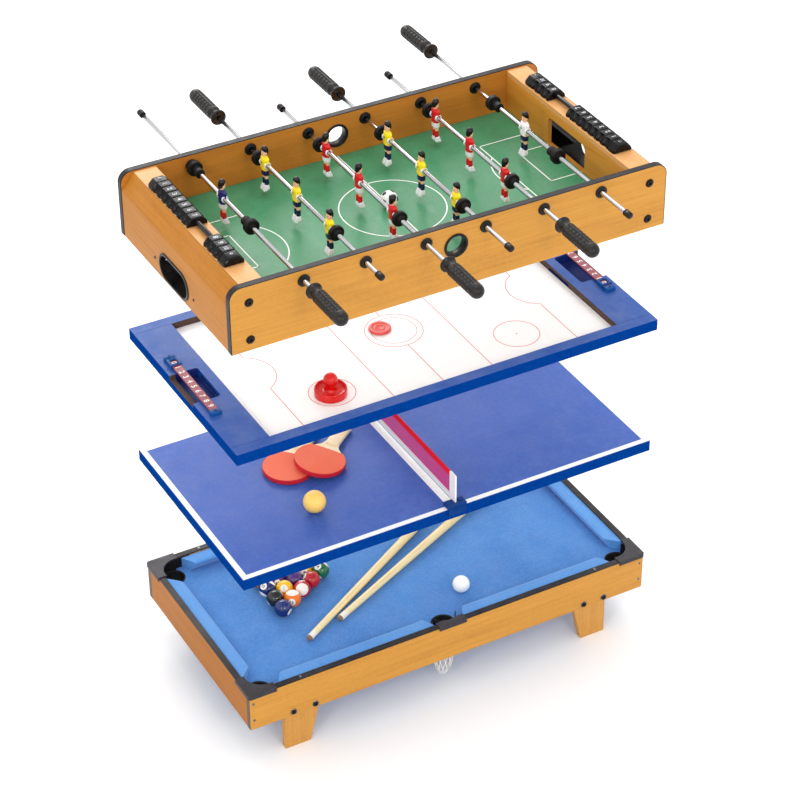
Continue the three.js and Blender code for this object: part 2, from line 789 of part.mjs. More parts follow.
function scoreSliders() {
  const halfX = scoreStripWidth / 2 + sliderWall;
  const y = sliderReach;
  const top = hockeyHeight + sliderHeight;
  const body = block(stripX - halfX, stripX + halfX, y - sliderLength / 2, y + sliderLength / 2,
    hockeyHeight + fit, top);
  const tunnelHalf = scoreStripWidth / 2 + fit;
  const tunnel = block(stripX - tunnelHalf, stripX + tunnelHalf, y - sliderLength, y + sliderLength,
    stripBottom - fit, stripTop + fit);
  const windowHalf = sliderWindow / 2;
  const opening = block(stripX - windowHalf, stripX + windowHalf, y - windowHalf, y + windowHalf,
    stripTop, top + overrun);
  const slider = body.subtract(tunnel).subtract(opening);
  node(hockeyGroup, 'score_slider_left', slider, paint(colours.darkBlue, 0.3));
  node(hockeyGroup, 'score_slider_right', slider.rotate([0, 0, 180]), paint(colours.darkBlue, 0.3));
}

const puckOutlineShares = [
  [0, 0], [0.93, 0], [1, 0.25], [1, 0.75], [0.93, 1], [0.7, 1], [0.66, 0.8], [0, 0.8],
];

// A pusher is a dish with a rolled rim and a ball-topped grip
const pusherOutlineShares = [
  [0, 0], [0.95, 0], [1, 0.1], [1, 0.36], [0.92, 0.46], [0.8, 0.26], [0.42, 0.24],
  [0.28, 0.4], [0.28, 0.56], [0.46, 0.72], [0.4, 0.92], [0, 1],
];

function puckAndPusher() {
  const level = hockeyFieldTop + fit;
  const sized = (shares, radius, height) => shares.map(([r, h]) => [r * radius, h * height]);
  const puck = turned(sized(puckOutlineShares, puckRadius, puckHeight), 'z', fineSides);
  node(hockeyGroup, 'puck', puck.translate([puckX, puckY, level]), paint(colours.red, 0.4));
  const pusher = turned(sized(pusherOutlineShares, pusherRadius, pusherHeight), 'z', fineSides);
  node(hockeyGroup, 'pusher', pusher.translate([pusherX, pusherY, level]), paint(colours.red, 0.15));
}

hockeyBoard();
scoreStrips();
scoreSliders();
puckAndPusher();

// Foosball top

const foosballGroup = new THREE.Group();
foosballGroup.position.z = foosballBase;
root.add(foosballGroup);

const firstRodX = -halfLength + endRodInset;
const rodPitch = (caseLength - endRodInset * 2) / (rods.length - 1);
const rodX = (index) => firstRodX + rodPitch * index;
const panelBoltX = halfLength - panelBoltInset;
const boltPlaces = [-panelBoltX, panelBoltX].flatMap((x) => [[x, panelBoltLow], [x, panelBoltHigh]]);

// Long panel outline: square at the bottom, rounded at both top corners
function panelOutline() {
  const edge = halfLength - panelCornerRadius;
  const shoulder = foosballHeight - panelCornerRadius;
  const shape = new THREE.Shape();
  shape.moveTo(-halfLength, 0);
  shape.lineTo(halfLength, 0);
  shape.lineTo(halfLength, shoulder);
  shape.absarc(edge, shoulder, panelCornerRadius, 0, Math.PI / 2, false);
  shape.absarc(-edge, shoulder, panelCornerRadius, Math.PI / 2, Math.PI, false);
  shape.closePath();
  return shape;
}

// A round flange stands off both faces of the front panel
function flanges(radius, thickness, sides = roundSides) {
  const outside = -halfWidth;
  const inside = -innerHalfWidth;
  const ring = (face, out) => turned([
    [0, face - out * fit], [radius, face - out * fit],
    [radius - flangeTaper, face + out * thickness], [0, face + out * thickness],
  ], 'y', sides);
  return ring(outside, -1).add(ring(inside, 1));
}

// A long panel carries its six rod bushings, the rim of its ball hole and its bolt heads
function longPanels() {
  const bush = flanges(bushFlangeRadius, bushFlangeThickness);
  const rim = flanges(feedFlangeRadius, feedFlangeThickness, fineSides);
  const head = boltHead(boltHeadRadius, boltHeadHeight);
  const drill = (radius, sides) => bar('y', 0, -halfWidth * 2, 0, radius, caseWidth * 2, sides);
  const rodBore = drill(bushBore, roundSides);
  const seats = rods.map((each, i) => [rodX(i), 0, rodHeight]);
  const board = join([
    plateXZ(panelOutline(), longBoard, -halfWidth),
    rim.translate([0, 0, feedHoleHeight]),
    ...seats.map((seat) => bush.translate(seat)),
    ...boltPlaces.map(([x, z]) => head.translate([x, -halfWidth, z])),
  ]);
  const bores = join([
    drill(feedRingBore, fineSides).translate([0, 0, feedHoleHeight]),
    ...seats.map((seat) => rodBore.translate(seat)),
  ]);
  const front = board.subtract(bores);
  node(foosballGroup, 'foosball_front_panel', front, paint(colours.oak, 0.45));
  node(foosballGroup, 'foosball_back_panel', front.mirror([0, 1, 0]), paint(colours.oak, 0.45));
}

// A stadium outline in Y and Z, widened by grow
function exitOutline(grow) {
  const radius = exitHeight / 2 + grow;
  const reach = (exitLength - exitHeight) / 2;
  const z = exitBottom + exitHeight / 2;
  const shape = new THREE.Shape();
  shape.absarc(reach, z, radius, -Math.PI / 2, Math.PI / 2, false);
  shape.absarc(-reach, z, radius, Math.PI / 2, Math.PI * 1.5, false);
  shape.closePath();
  return shape;
}

const endFace = halfLength - endFaceInset;
const wallFace = halfLength - goalWallInset;
const bevelTop = halfLength - endBevelTopInset;
const bevelFoot = bevelTop - topBoardThickness / 2;
const boardUnder = endTopHeight - topBoardThickness;

// An end panel stands upright and leans in at the top; its ball exit is a stadium
function endPanels() {
  const reach = innerHalfWidth - fit;
  const profile = outlineOf([
    [endFace, 0], [endFace, endBevelHeight], [bevelTop, endTopHeight], [bevelFoot, boardUnder],
    [endFace - endBoard, endBevelHeight - endBoard / 2], [endFace - endBoard, 0],
  ]);
  const hole = plateYZ(exitOutline(fit), endBoard + overrun * 2, endFace - endBoard - overrun);
  const screw = boltHead(nailHeadRadius, nailHeadHeight).rotate([0, 0, 90]);
  const screws = [-1, 1].map((side) => screw.translate([endFace, side * exitScrewReach, exitScrewHeight]));
  const end = join([plateXZ(profile, reach * 2, -reach), ...screws]).subtract(hole);
  node(foosballGroup, 'foosball_right_panel', end, paint(colours.oak, 0.45));
  node(foosballGroup, 'foosball_left_panel', end.rotate([0, 0, 180]), paint(colours.oak, 0.45));
}

// A goal mouth: flat at the field, rounded at its upper corners
function goalMouth() {
  const half = goalWidth / 2;
  const inner = half - goalCornerRadius;
  const spring = fieldTop + goalHeight - goalCornerRadius;
  const mouth = new THREE.Path();
  mouth.moveTo(-half, fieldTop);
  mouth.lineTo(-half, spring);
  mouth.absarc(-inner, spring, goalCornerRadius, Math.PI, Math.PI / 2, true);
  mouth.absarc(inner, spring, goalCornerRadius, Math.PI / 2, 0, true);
  mouth.lineTo(half, fieldTop);
  mouth.closePath();
  return mouth;
}

// The goal wall and the board on top of it are glued to one another
function goalBoxes() {
  const reach = innerHalfWidth - fit;
  const shape = outlineOf([[-reach, 0], [reach, 0], [reach, endTopHeight], [-reach, endTopHeight]]);
  shape.holes.push(goalMouth());
  const wall = plateYZ(shape, endBoard, wallFace);
  const board = plateXZ(outlineOf([
    [wallFace, boardUnder], [bevelFoot - fit, boardUnder],
    [bevelTop - fit, endTopHeight], [wallFace, endTopHeight],
  ]), reach * 2, -reach);
  const box = wall.add(board);
  node(foosballGroup, 'goal_box_right', box, paint(colours.paleOak, 0.5));
  node(foosballGroup, 'goal_box_left', box.rotate([0, 0, 180]), paint(colours.paleOak, 0.5));
}

function field() {
  const x = wallFace - fit;
  const y = innerHalfWidth - fit;
  const slab = block(-x, x, -y, y, fieldTop - fieldThickness, fieldTop);
  node(foosballGroup, 'foosball_field', slab, paint(colours.green, 0.6));
}

// A black tray fills each ball exit: it is open at the outside, and over half its height to the goal
function ballTrays() {
  const start = endFace - exitTrayDepth;
  const tube = plateYZ(exitOutline(0), exitTrayDepth + exitRimStand, start);
  const rim = plateYZ(exitOutline(exitRimWidth), exitRimStand - fit, endFace + fit);
  const bore = plateYZ(exitOutline(-exitTrayWall), exitTrayDepth + overrun * 2, start + exitTrayWall);
  const openTop = block(start - overrun, endFace - endBoard - fit, -exitLength, exitLength,
    exitBottom + exitHeight / 2, exitBottom + exitHeight + overrun);
  const tray = join([tube, rim]).subtract(bore).subtract(openTop);
  node(foosballGroup, 'ball_tray_right', tray, paint(colours.black, 0.4));
  node(foosballGroup, 'ball_tray_left', tray.rotate([0, 0, 180]), paint(colours.black, 0.4));
}

// Score counters: ten beads on a rod between two brackets, over each top board

const counterX = -halfLength + counterInset;
const counterSpan = beadCount * beadLength + counterGap + fit * 2;
const counterHalf = counterSpan / 2;

function beadOutline(width, topWidth, height) {
  const shoulder = height * beadShoulderShare;
  return outlineOf([[-width / 2, 0], [width / 2, 0], [width / 2, shoulder], [topWidth / 2, height],
    [-topWidth / 2, height], [-width / 2, shoulder]]);
}

// A row of beads that touch: the skin dips between one bead and the next
function beadRow(count) {
  const ring = (bevel, y) => {
    const outline = beadOutline(beadWidth - bevel * 2, beadTopWidth - bevel, beadHeight - bevel);
    return outline.getPoints().map((p) => new THREE.Vector3(p.x, y, p.y));
  };
  const rings = [ring(beadBevel, 0)];
  for (let i = 0; i < count; i += 1) {
    const start = i * beadLength;
    const end = start + beadLength;
    rings.push(ring(0, start + beadBevel), ring(0, end - beadBevel), ring(beadBevel, end));
  }
  const length = count * beadLength;
  const bore = bar('y', 0, -overrun, counterRodRise - beadStandoff, counterRodRadius + fit * 2,
    length + overrun * 2);
  return loft(rings).subtract(bore);
}

// Two brackets hold the counter's rod over the board
function counterRod() {
  const start = counterHalf + fit;
  const screw = bar('z', 0, start + counterBracket / 2, beadHeight - fit, counterScrewRadius, nailHeadHeight);
  const bracket = plateXZ(beadOutline(beadWidth, beadTopWidth, beadHeight), counterBracket, start)
    .add(screw)
    .translate([0, 0, fit]);
  const reach = counterHalf + overrun;
  const rodBar = bar('y', 0, -reach, counterRodRise, counterRodRadius, reach * 2);
  return join([bracket, bracket.mirror([0, 1, 0]), rodBar]);
}

function scoreCounters() {
  const placed = (piece) => piece.translate([counterX, 0, endTopHeight]);
  const left = placed(counterRod());
  node(foosballGroup, 'counter_rod_left', left, paint(colours.black, 0.35));
  node(foosballGroup, 'counter_rod_right', left.rotate([0, 0, 180]), paint(colours.black, 0.35));
  const manyStart = counterHalf - beadsScored * beadLength - fit;
  const many = placed(beadRow(beadsScored).translate([0, manyStart, beadStandoff]));
  const few = placed(beadRow(beadCount - beadsScored).translate([0, -counterHalf + fit, beadStandoff]));
  node(foosballGroup, 'beads_left_back', many, paint(colours.black, 0.4));
  node(foosballGroup, 'beads_left_front', few, paint(colours.black, 0.4));
  node(foosballGroup, 'beads_right_front', many.rotate([0, 0, 180]), paint(colours.black, 0.4));
  node(foosballGroup, 'beads_right_back', few.rotate([0, 0, 180]), paint(colours.black, 0.4));
}

function football() {
  const ball = solid(new THREE.SphereGeometry(footballRadius, fineSides, roundSides));
  node(foosballGroup, 'football', ball.translate([footballX, footballY, fieldTop + footballRadius + fit]),
    paint(colours.white, 0.4));
}

// A player, the piece that takes the most skill: a body of oval sections from the boots to the crown,
// with the rod through the hips. Each row is a share of the height below or above the rod, then
// shares of the width, the depth and the forward lean.
const manLowerShares = [
  [-0.86, 0.56, 0.5, 0], [-0.36, 0.64, 0.6, 0], [-0.3, 0.88, 0.9, 0],
];
const manUpperShares = [
  [0.36, 1, 0.84, 0], [0.5, 0.42, 0.46, 0], [0.66, 0.54, 0.86, 0.03], [0.84, 0.58, 0.92, 0], [1, 0.3, 0.4, 0],
];

function ovalRing(halfWide, halfDeep, lean, z) {
  return Array.from({ length: roundSides - 2 }, (_, i) => {
    const angle = (i + 0.5) / (roundSides - 2) * Math.PI * 2;
    return new THREE.Vector3(lean + halfDeep * Math.cos(angle), halfWide * Math.sin(angle), z);
  });
}

function player() {
  const row = (reach) => ([h, w, d, lean]) =>
    ovalRing(w * manWidth / 2, d * manDepth / 2, lean * manDepth, h * reach);
  const rings = [...manLowerShares.map(row(manFoot)), ...manUpperShares.map(row(manHead))];
  const body = loft(rings);
  const sole = -manFoot;
  const boot = (z, w, d) => [[-1, -1], [1, -1], [1, 1], [-1, 1]].map(([sx, sy]) =>
    new THREE.Vector3(bootLean + sx * d / 2, sy * w / 2, z));
  const narrow = bootWidth - bootLean * 2;
  const short = bootDepth - bootLean * 2;
  const boots = loft([
    boot(sole, bootWidth - bootLean, short),
    boot(sole + bootHeight / 2, bootWidth, bootDepth),
    boot(sole + bootHeight, narrow, short),
  ]);
  return body.add(boots);
}

// A stop is a disc with a hub; a goalkeeper's stops are longer
function stopPiece(goalie) {
  const length = goalie ? goalieStopLength : stopLength;
  const disc = goalie ? goalieDiscLength : stopDiscLength;
  const hub = [[0, -length / 2], [stopHubRadius, -length / 2], [stopHubRadius, length / 2], [0, length / 2]];
  const side = goalie ? length / 2 - disc : -length / 2;
  const ring = [[0, side], [stopRadius, side], [stopRadius, side + disc], [0, side + disc]];
  return turned(hub, 'y').add(turned(ring, 'y'));
}

// A grip runs out from its flange along +Y and closes over the end of the rod
function grip() {
  const bore = rodRadius + fit;
  const neckEnd = gripFlangeThickness + gripNeckLength;
  const total = neckEnd + gripLength;
  const outline = [[bore, 0], [gripFlangeRadius, 0], [gripFlangeRadius, gripFlangeThickness],
    [gripNeckRadius, gripFlangeThickness], [gripNeckRadius, neckEnd]];
  const rib = (gripLength - gripRadius) / gripRibs;
  for (let i = 0; i < gripRibs; i += 1) {
    outline.push([gripRadius - gripGroove, neckEnd + rib * i + gripGroove / 2]);
    outline.push([gripRadius, neckEnd + rib * i + gripGroove * 2]);
    outline.push([gripRadius, neckEnd + rib * (i + 1) - gripGroove]);
  }
  outline.push([gripRadius - gripRounding, total - gripRounding / 2], [0, total]);
  outline.push([0, neckEnd + gripWall], [bore, neckEnd + gripWall], [bore, 0]);
  return turned(outline, 'y');
}

function endCap() {
  const bore = rodRadius + fit;
  return turned([
    [bore, 0], [endCapRadius, 0], [endCapRadius, endCapLength - gripWall],
    [endCapRadius - gripGroove, endCapLength], [0, endCapLength],
    [0, endCapLength - gripWall], [bore, endCapLength - gripWall], [bore, 0],
  ], 'y');
}

// How far a rod can travel each way from its middle place
function rodTravel(goalie) {
  const reach = goalie ? goalieStopReach + goalieStopLength / 2 : stopReach + stopLength / 2;
  return innerHalfWidth - bushFlangeThickness - fit * 2 - reach;
}

const shirtColours = [colours.navy, colours.yellow, colours.red, colours.yellow, colours.red, colours.white];

// A rod is a bar with its men and two stops on it; a grip closes one end and a cap the other
function rod(spec, index) {
  const { handle, pushShare, goalie, looks } = spec;
  const shift = pushShare * rodTravel(goalie);
  const capReach = goalie ? goalieRodCapReach : rodCapReach;
  const flangeReach = goalie ? goalieRodFlangeReach : rodFlangeReach;
  const name = `rod_${index + 1}`;

  // Drawn with the handle to the back, then turned to the front where it belongs there
  const towards = (piece) => (handle > 0 ? piece : piece.mirror([0, 1, 0]));
  const place = (piece) => piece.translate([rodX(index), shift, rodHeight]);
  const barStart = -capReach + gripWall + fit;
  const barEnd = flangeReach + gripFlangeThickness + gripNeckLength + gripWall - fit;
  const men = goalie ? [0] : [-menPitch, 0, menPitch];
  const figure = looks > 0 ? player() : player().mirror([1, 0, 0]);
  const stop = stopPiece(goalie).translate([0, goalie ? goalieStopReach : stopReach, 0]);
  const pieces = [
    towards(bar('y', 0, barStart, 0, rodRadius, barEnd - barStart)),
    stop, stop.mirror([0, 1, 0]),
    ...men.map((y) => figure.translate([0, y, 0])),
  ];
  node(foosballGroup, name, place(join(pieces)), paint(shirtColours[index], 0.45));
  const held = towards(grip().translate([0, flangeReach, 0]));
  node(foosballGroup, `${name}_grip`, place(held), paint(colours.black, 0.55));
  const cap = towards(endCap().mirror([0, 1, 0]).translate([0, -capReach + endCapLength, 0]));
  node(foosballGroup, `${name}_end_cap`, place(cap), paint(colours.black, 0.4));
}

longPanels();
endPanels();
goalBoxes();
field();
ballTrays();
scoreCounters();
football();
rods.forEach(rod);

// The origin is under the middle of the whole outline, handles included
const gripEnd = gripFlangeThickness + gripNeckLength + gripLength;
function handleEnd({ handle, pushShare, goalie }) {
  const flange = goalie ? goalieRodFlangeReach : rodFlangeReach;
  return pushShare * rodTravel(goalie) + handle * (flange + gripEnd);
}
const rodEnds = rods.map(handleEnd);
root.position.y = -(Math.max(...rodEnds) + Math.min(...rodEnds)) / 2;

export default root;
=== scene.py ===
# Multi game table: the finished look of a pool base and the three game tops that stand on it.
# Sizes are millimetres in the frame of a layer: X along the table, Y to the back, and Z up from
# the layer's lowest face. They become metres when a piece is made.

import math

import bpy
import bmesh
from mathutils import Matrix, Vector
from mathutils.geometry import tessellate_polygon


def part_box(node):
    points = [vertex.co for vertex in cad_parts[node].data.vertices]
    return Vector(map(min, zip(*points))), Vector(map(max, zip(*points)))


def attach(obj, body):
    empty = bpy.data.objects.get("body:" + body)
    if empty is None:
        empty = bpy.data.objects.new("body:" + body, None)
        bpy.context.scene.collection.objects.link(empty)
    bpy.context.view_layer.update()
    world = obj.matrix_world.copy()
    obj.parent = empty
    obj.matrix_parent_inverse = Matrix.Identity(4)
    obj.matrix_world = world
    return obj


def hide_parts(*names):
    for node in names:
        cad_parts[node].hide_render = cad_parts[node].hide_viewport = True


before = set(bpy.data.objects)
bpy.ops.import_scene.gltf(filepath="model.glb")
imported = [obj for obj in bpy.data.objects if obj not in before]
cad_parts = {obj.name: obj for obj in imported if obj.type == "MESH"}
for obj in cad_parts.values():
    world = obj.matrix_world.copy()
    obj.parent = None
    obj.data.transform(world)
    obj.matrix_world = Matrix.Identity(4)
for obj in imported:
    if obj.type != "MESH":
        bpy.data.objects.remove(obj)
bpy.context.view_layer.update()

MM = 0.001


def layer_origin(base_node, *width_nodes):
    """The middle of a layer at its lowest face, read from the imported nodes."""
    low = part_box(base_node)[0].z
    edges = [corner.y for node in width_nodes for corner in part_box(node)]
    return Vector((0, (min(edges) + max(edges)) / 2, low))


POOL = layer_origin("pool_front_rail", "pool_front_rail", "pool_back_rail")
PING_PONG = layer_origin("ping_pong_board", "ping_pong_board")
HOCKEY = layer_origin("hockey_board", "hockey_board")
FOOSBALL = layer_origin("foosball_front_panel", "foosball_front_panel", "foosball_back_panel")

# The case that all four layers share
HALF_LENGTH = 405
HALF_WIDTH = 212
BOARD = 12
INSIDE = HALF_WIDTH - BOARD


# Turns and places


def turn_about(axis, degrees):
    return Matrix.Rotation(math.radians(degrees), 4, axis)


TO_FRONT = Matrix.Identity(4)
TO_BACK = turn_about("Z", 180)
TO_RIGHT = turn_about("Z", 90)
TO_LEFT = turn_about("Z", -90)
UPWARD = turn_about("X", -90)
END_OF_X = {-1: "left", 1: "right"}
END_OF_Y = {-1: "front", 1: "back"}


def at(x, y, z):
    return Matrix.Translation((x, y, z))


def half_turn(wanted):
    """A half turn about Z where it is wanted, or none."""
    return TO_BACK if wanted else TO_FRONT


def flipped(side_x, side_y):
    """Mirrors a shape across each axis whose side is -1."""
    return Matrix.Diagonal((side_x, side_y, 1, 1))


def across(side, near, far):
    """Two places on one side of the middle, the lower one first."""
    return sorted((side * near, side * far))


def middle_of(node):
    low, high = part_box(node)
    return (low + high) / 2


def foot_of(node):
    low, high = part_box(node)
    return Vector(((low.x + high.x) / 2, (low.y + high.y) / 2, low.z))


# Shapes: each is a list of points and a list of faces


def block(x0, x1, y0, y1, z0, z1):
    points = [(x, y, z) for z in (z0, z1) for y in (y0, y1) for x in (x0, x1)]
    faces = [(0, 2, 3, 1), (4, 5, 7, 6), (0, 1, 5, 4), (2, 6, 7, 3), (0, 4, 6, 2), (1, 3, 7, 5)]
    return points, faces


def case_block(height):
    return block(-HALF_LENGTH, HALF_LENGTH, -HALF_WIDTH, HALF_WIDTH, 0, height)


def skin(rings, ends=True, loop=False):
    """A surface over rings of points that all have the same count."""
    count = len(rings[0])
    points = [point for ring in rings for point in ring]
    faces = []
    steps = len(rings) if loop else len(rings) - 1
    for r in range(steps):
        a = r * count
        b = (r + 1) % len(rings) * count
        for i in range(count):
            j = (i + 1) % count
            faces.append((a + i, a + j, b + j, b + i))
    if ends and not loop:
        faces.append(tuple(range(count)))
        faces.append(tuple(range(len(points) - count, len(points))))
    return points, faces


def along(axis, u, v, w):
    """A point whose w runs along the named axis."""
    if axis == "X":
        return (w, u, v)
    if axis == "Y":
        return (u, w, v)
    return (u, v, w)


def turned(profile, sides=32, axis="Z", loop=False):
    """A lathe shape over pairs of radius and place along the axis."""
    points = []
    starts = []
    for radius, place in profile:
        starts.append(len(points))
        if radius < 1e-6:
            points.append(along(axis, 0, 0, place))
            continue
        for i in range(sides):
            angle = 2 * math.pi * i / sides
            points.append(along(axis, radius * math.cos(angle), radius * math.sin(angle), place))
    count = len(profile)
    faces = []
    for k in range(count if loop else count - 1):
        n = (k + 1) % count
        a, b = starts[k], starts[n]
        low_pole = profile[k][0] < 1e-6
        high_pole = profile[n][0] < 1e-6
        for i in range(sides):
            j = (i + 1) % sides
            if low_pole and high_pole:
                continue
            if low_pole:
                faces.append((a, b + j, b + i))
            elif high_pole:
                faces.append((a + i, a + j, b))
            else:
                faces.append((a + i, a + j, b + j, b + i))
    if not loop:
        if profile[0][0] >= 1e-6:
            faces.append(tuple(range(starts[0], starts[0] + sides)))
        if profile[-1][0] >= 1e-6:
            faces.append(tuple(range(starts[-1], starts[-1] + sides)))
    return points, faces


def plate(outline, low, high, holes=(), axis="Z"):
    """An outline of (u, v) pairs with holes, from low to high along the axis."""
    loops = [list(outline)] + [list(hole) for hole in holes]
    flat = [point for loop in loops for point in loop]
    total = len(flat)
    points = [along(axis, u, v, low) for u, v in flat] + [along(axis, u, v, high) for u, v in flat]
    if holes:
        caps = tessellate_polygon([[Vector((u, v, 0)) for u, v in loop] for loop in loops])
    else:
        caps = [tuple(range(total))]
    faces = [tuple(cap) for cap in caps] + [tuple(corner + total for corner in cap) for cap in caps]
    start = 0
    for loop in loops:
        size = len(loop)
        for i in range(size):
            a = start + i
            b = start + (i + 1) % size
            faces.append((a, b, b + total, a + total))
        start += size
    return points, faces


def arc(u, v, radius, start, end, steps=12):
    """Points on an arc, from the start angle to the end angle in degrees."""
    angles = [math.radians(start + (end - start) * i / steps) for i in range(steps + 1)]
    return [(u + radius * math.cos(a), v + radius * math.sin(a)) for a in angles]


def straight(u0, u1, v0, v1):
    """The outline of a rectangle, or of a straight line with its width."""
    return [(u0, v0), (u1, v0), (u1, v1), (u0, v1)]


def ring_round_y(radius, y, sides):
    angles = [2 * math.pi * i / sides for i in range(sides)]
    return [(radius * math.cos(angle), y, radius * math.sin(angle)) for angle in angles]


def circle(u, v, radius, steps=40):
    return arc(u, v, radius, 0, 360, steps)[:-1]


def rounded(u0, u1, v0, v1, radius, steps=6):
    return (arc(u1 - radius, v0 + radius, radius, -90, 0, steps)
            + arc(u1 - radius, v1 - radius, radius, 0, 90, steps)
            + arc(u0 + radius, v1 - radius, radius, 90, 180, steps)
            + arc(u0 + radius, v0 + radius, radius, 180, 270, steps))


def stadium(length, height, v0, grow=0.0, steps=14):
    """A long round-ended outline about U 0, whose lowest point is at v0 before it grows."""
    radius = height / 2 + grow
    reach = (length - height) / 2
    middle = v0 + height / 2
    return arc(reach, middle, radius, -90, 90, steps) + arc(-reach, middle, radius, 90, 270, steps)


def arc_band(u, v, radius, width, start, end, steps=36):
    """The outline of a curved line of even width."""
    outer = arc(u, v, radius + width / 2, start, end, steps)
    inner = arc(u, v, radius - width / 2, end, start, steps)
    return outer + inner


def rolled(shape, matrix):
    points, faces = shape
    return [matrix @ Vector(point) for point in points], faces


def mirrored(shape, side):
    points, faces = shape
    return [(x, y * side, z) for x, y, z in points], faces


class Form:
    """The shapes of one piece, with the number of a finish on each."""

    def __init__(self):
        self.points = []
        self.faces = []
        self.finishes = []

    def add(self, shape, finish=0, place=None):
        points, faces = shape
        start = len(self.points)
        for point in points:
            self.points.append(place @ Vector(point) if place else Vector(point))
        for face in faces:
            self.faces.append([start + corner for corner in face])
            self.finishes.append(finish)
        return self


def mesh_of(name, form, materials, origin=Vector((0, 0, 0)), sharp=38, smooth=True):
    mesh = bpy.data.meshes.new(name)
    mesh.from_pydata([tuple(point * MM + origin) for point in form.points], [], form.faces)
    for material in materials:
        mesh.materials.append(material)
    for polygon, finish in zip(mesh.polygons, form.finishes):
        polygon.material_index = finish
    work = bmesh.new()
    work.from_mesh(mesh)
    bmesh.ops.recalc_face_normals(work, faces=work.faces)
    work.to_mesh(mesh)
    work.free()
    if smooth:
        mesh.shade_smooth()
        mesh.set_sharp_from_angle(angle=math.radians(sharp))
    return mesh


def new_object(name, data):
    thing = bpy.data.objects.new(name, data)
    bpy.context.scene.collection.objects.link(thing)
    return thing


def finished_mesh(thing):
    """A mesh of the thing with its modifiers or its text worked in."""
    bpy.context.view_layer.update()
    graph = bpy.context.evaluated_depsgraph_get()
    return bpy.data.meshes.new_from_object(thing.evaluated_get(graph))


def shape_of(work):
    """The points and faces of a work mesh, which is freed."""
    work.verts.index_update()
    points = [tuple(vert.co) for vert in work.verts]
    faces = [tuple(vert.index for vert in face.verts) for face in work.faces]
    work.free()
    return points, faces


def place_mesh(name, mesh, body, nodes, place=None):
    piece = new_object(name, mesh)
    if place is not None:
        piece.matrix_world = place
    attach(piece, body)
    if nodes:
        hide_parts(*nodes)
    return piece


def make(name, form, origin, body, materials, slot, nodes=(), bevel=0.0, rounds=2, sharp=38):
    """Builds a piece about the origin and rounds its edges by the bevel, in millimetres."""
    mesh = mesh_of(name, form, materials, origin, sharp)
    if bevel:
        mesh.shade_smooth()
        for edge in mesh.edges:
            edge.use_edge_sharp = False
    piece = place_mesh(name, mesh, body, nodes)
    if bevel:
        soften(piece, bevel, rounds)
    return piece


def layer_maker(origin, body):
    """A way to make pieces that sit in one layer and stay with it."""
    def piece(name, form, materials, slot, nodes=(), **edges):
        return make(name, form, origin, body, materials, slot, nodes, **edges)
    return piece


pool_piece = layer_maker(POOL, "pool_base")
ping_pong_piece = layer_maker(PING_PONG, "ping_pong_top")
hockey_piece = layer_maker(HOCKEY, "hockey_top")
foosball_piece = layer_maker(FOOSBALL, "foosball_top")


def soften(piece, width, rounds=2, angle=38):
    edges = piece.modifiers.new("Broken edges", "BEVEL")
    edges.width = width * MM
    edges.segments = rounds
    edges.limit_method = "ANGLE"
    edges.angle_limit = math.radians(angle)
    edges.harden_normals = True
    edges.use_clamp_overlap = True


def carve(name, form, cutters, materials, origin):
    """A mesh of the form with the cutters taken out of it."""
    base = new_object(name, mesh_of(name, form, materials, origin, smooth=False))
    tools = []
    for cutter in cutters:
        tool = new_object("cutter", mesh_of("cutter", cutter, materials, origin, smooth=False))
        cut = base.modifiers.new("Cut", "BOOLEAN")
        cut.operation = "DIFFERENCE"
        cut.solver = "EXACT"
        cut.object = tool
        tools.append(tool)
    mesh = finished_mesh(base)
    mesh.name = name
    for thing in tools + [base]:
        bpy.data.objects.remove(thing)
    mesh.shade_smooth()
    return mesh


lettering_shapes = {}


def lettering(text, size):
    """Flat digits in the XY plane about the origin, cut fine enough to lie on a curved face."""
    key = (text, size)
    if key not in lettering_shapes:
        curve = bpy.data.curves.new("lettering", "FONT")
        curve.body = text
        curve.size = size
        curve.align_x = "CENTER"
        curve.align_y = "CENTER"
        curve.offset = size * 0.02
        curve.resolution_u = 3
        carrier = new_object("lettering", curve)
        work = bmesh.new()
        work.from_mesh(finished_mesh(carrier))
        bmesh.ops.remove_doubles(work, verts=work.verts, dist=size * 1e-4)
        bmesh.ops.triangulate(work, faces=work.faces)
        bmesh.ops.subdivide_edges(work, edges=work.edges, cuts=1, use_grid_fill=True)
        points, faces = shape_of(work)
        bpy.data.objects.remove(carrier)
        middle = [(min(p[k] for p in points) + max(p[k] for p in points)) / 2 for k in range(2)]
        points = [(p[0] - middle[0], p[1] - middle[1], 0.0) for p in points]
        lettering_shapes[key] = (points, faces)
    return lettering_shapes[key]


# Node helpers


def linear(code):
    """A colour written as six hex digits, as the shader wants it."""
    values = [int(code[i:i + 2], 16) / 255 for i in (0, 2, 4)]
    return tuple(v / 12.92 if v <= 0.04045 else ((v + 0.055) / 1.055) ** 2.4 for v in values) + (1.0,)


def fill(tree, node, inputs):
    """Gives each named input a value, or a link from another node."""
    for key, value in inputs.items():
        if isinstance(value, bpy.types.NodeSocket):
            tree.links.new(value, node.inputs[key])
        else:
            node.inputs[key].default_value = value


def add_node(tree, kind, inputs=None, **settings):
    node = tree.nodes.new(kind)
    for key, value in settings.items():
        setattr(node, key, value)
    fill(tree, node, inputs or {})
    return node


def noise(tree, place, scale, detail, roughness=0.5, distortion=0.0):
    inputs = {"Vector": place, "Scale": scale, "Detail": detail, "Roughness": roughness,
              "Distortion": distortion}
    return add_node(tree, "ShaderNodeTexNoise", inputs).outputs[0]


def object_place(tree):
    return add_node(tree, "ShaderNodeTexCoord").outputs["Object"]


def arithmetic(tree, operation, a, b=0.0, clamp=False):
    return add_node(tree, "ShaderNodeMath", {0: a, 1: b}, operation=operation, use_clamp=clamp).outputs[0]


def times(tree, a, b, clamp=False):
    return arithmetic(tree, "MULTIPLY", a, b, clamp)


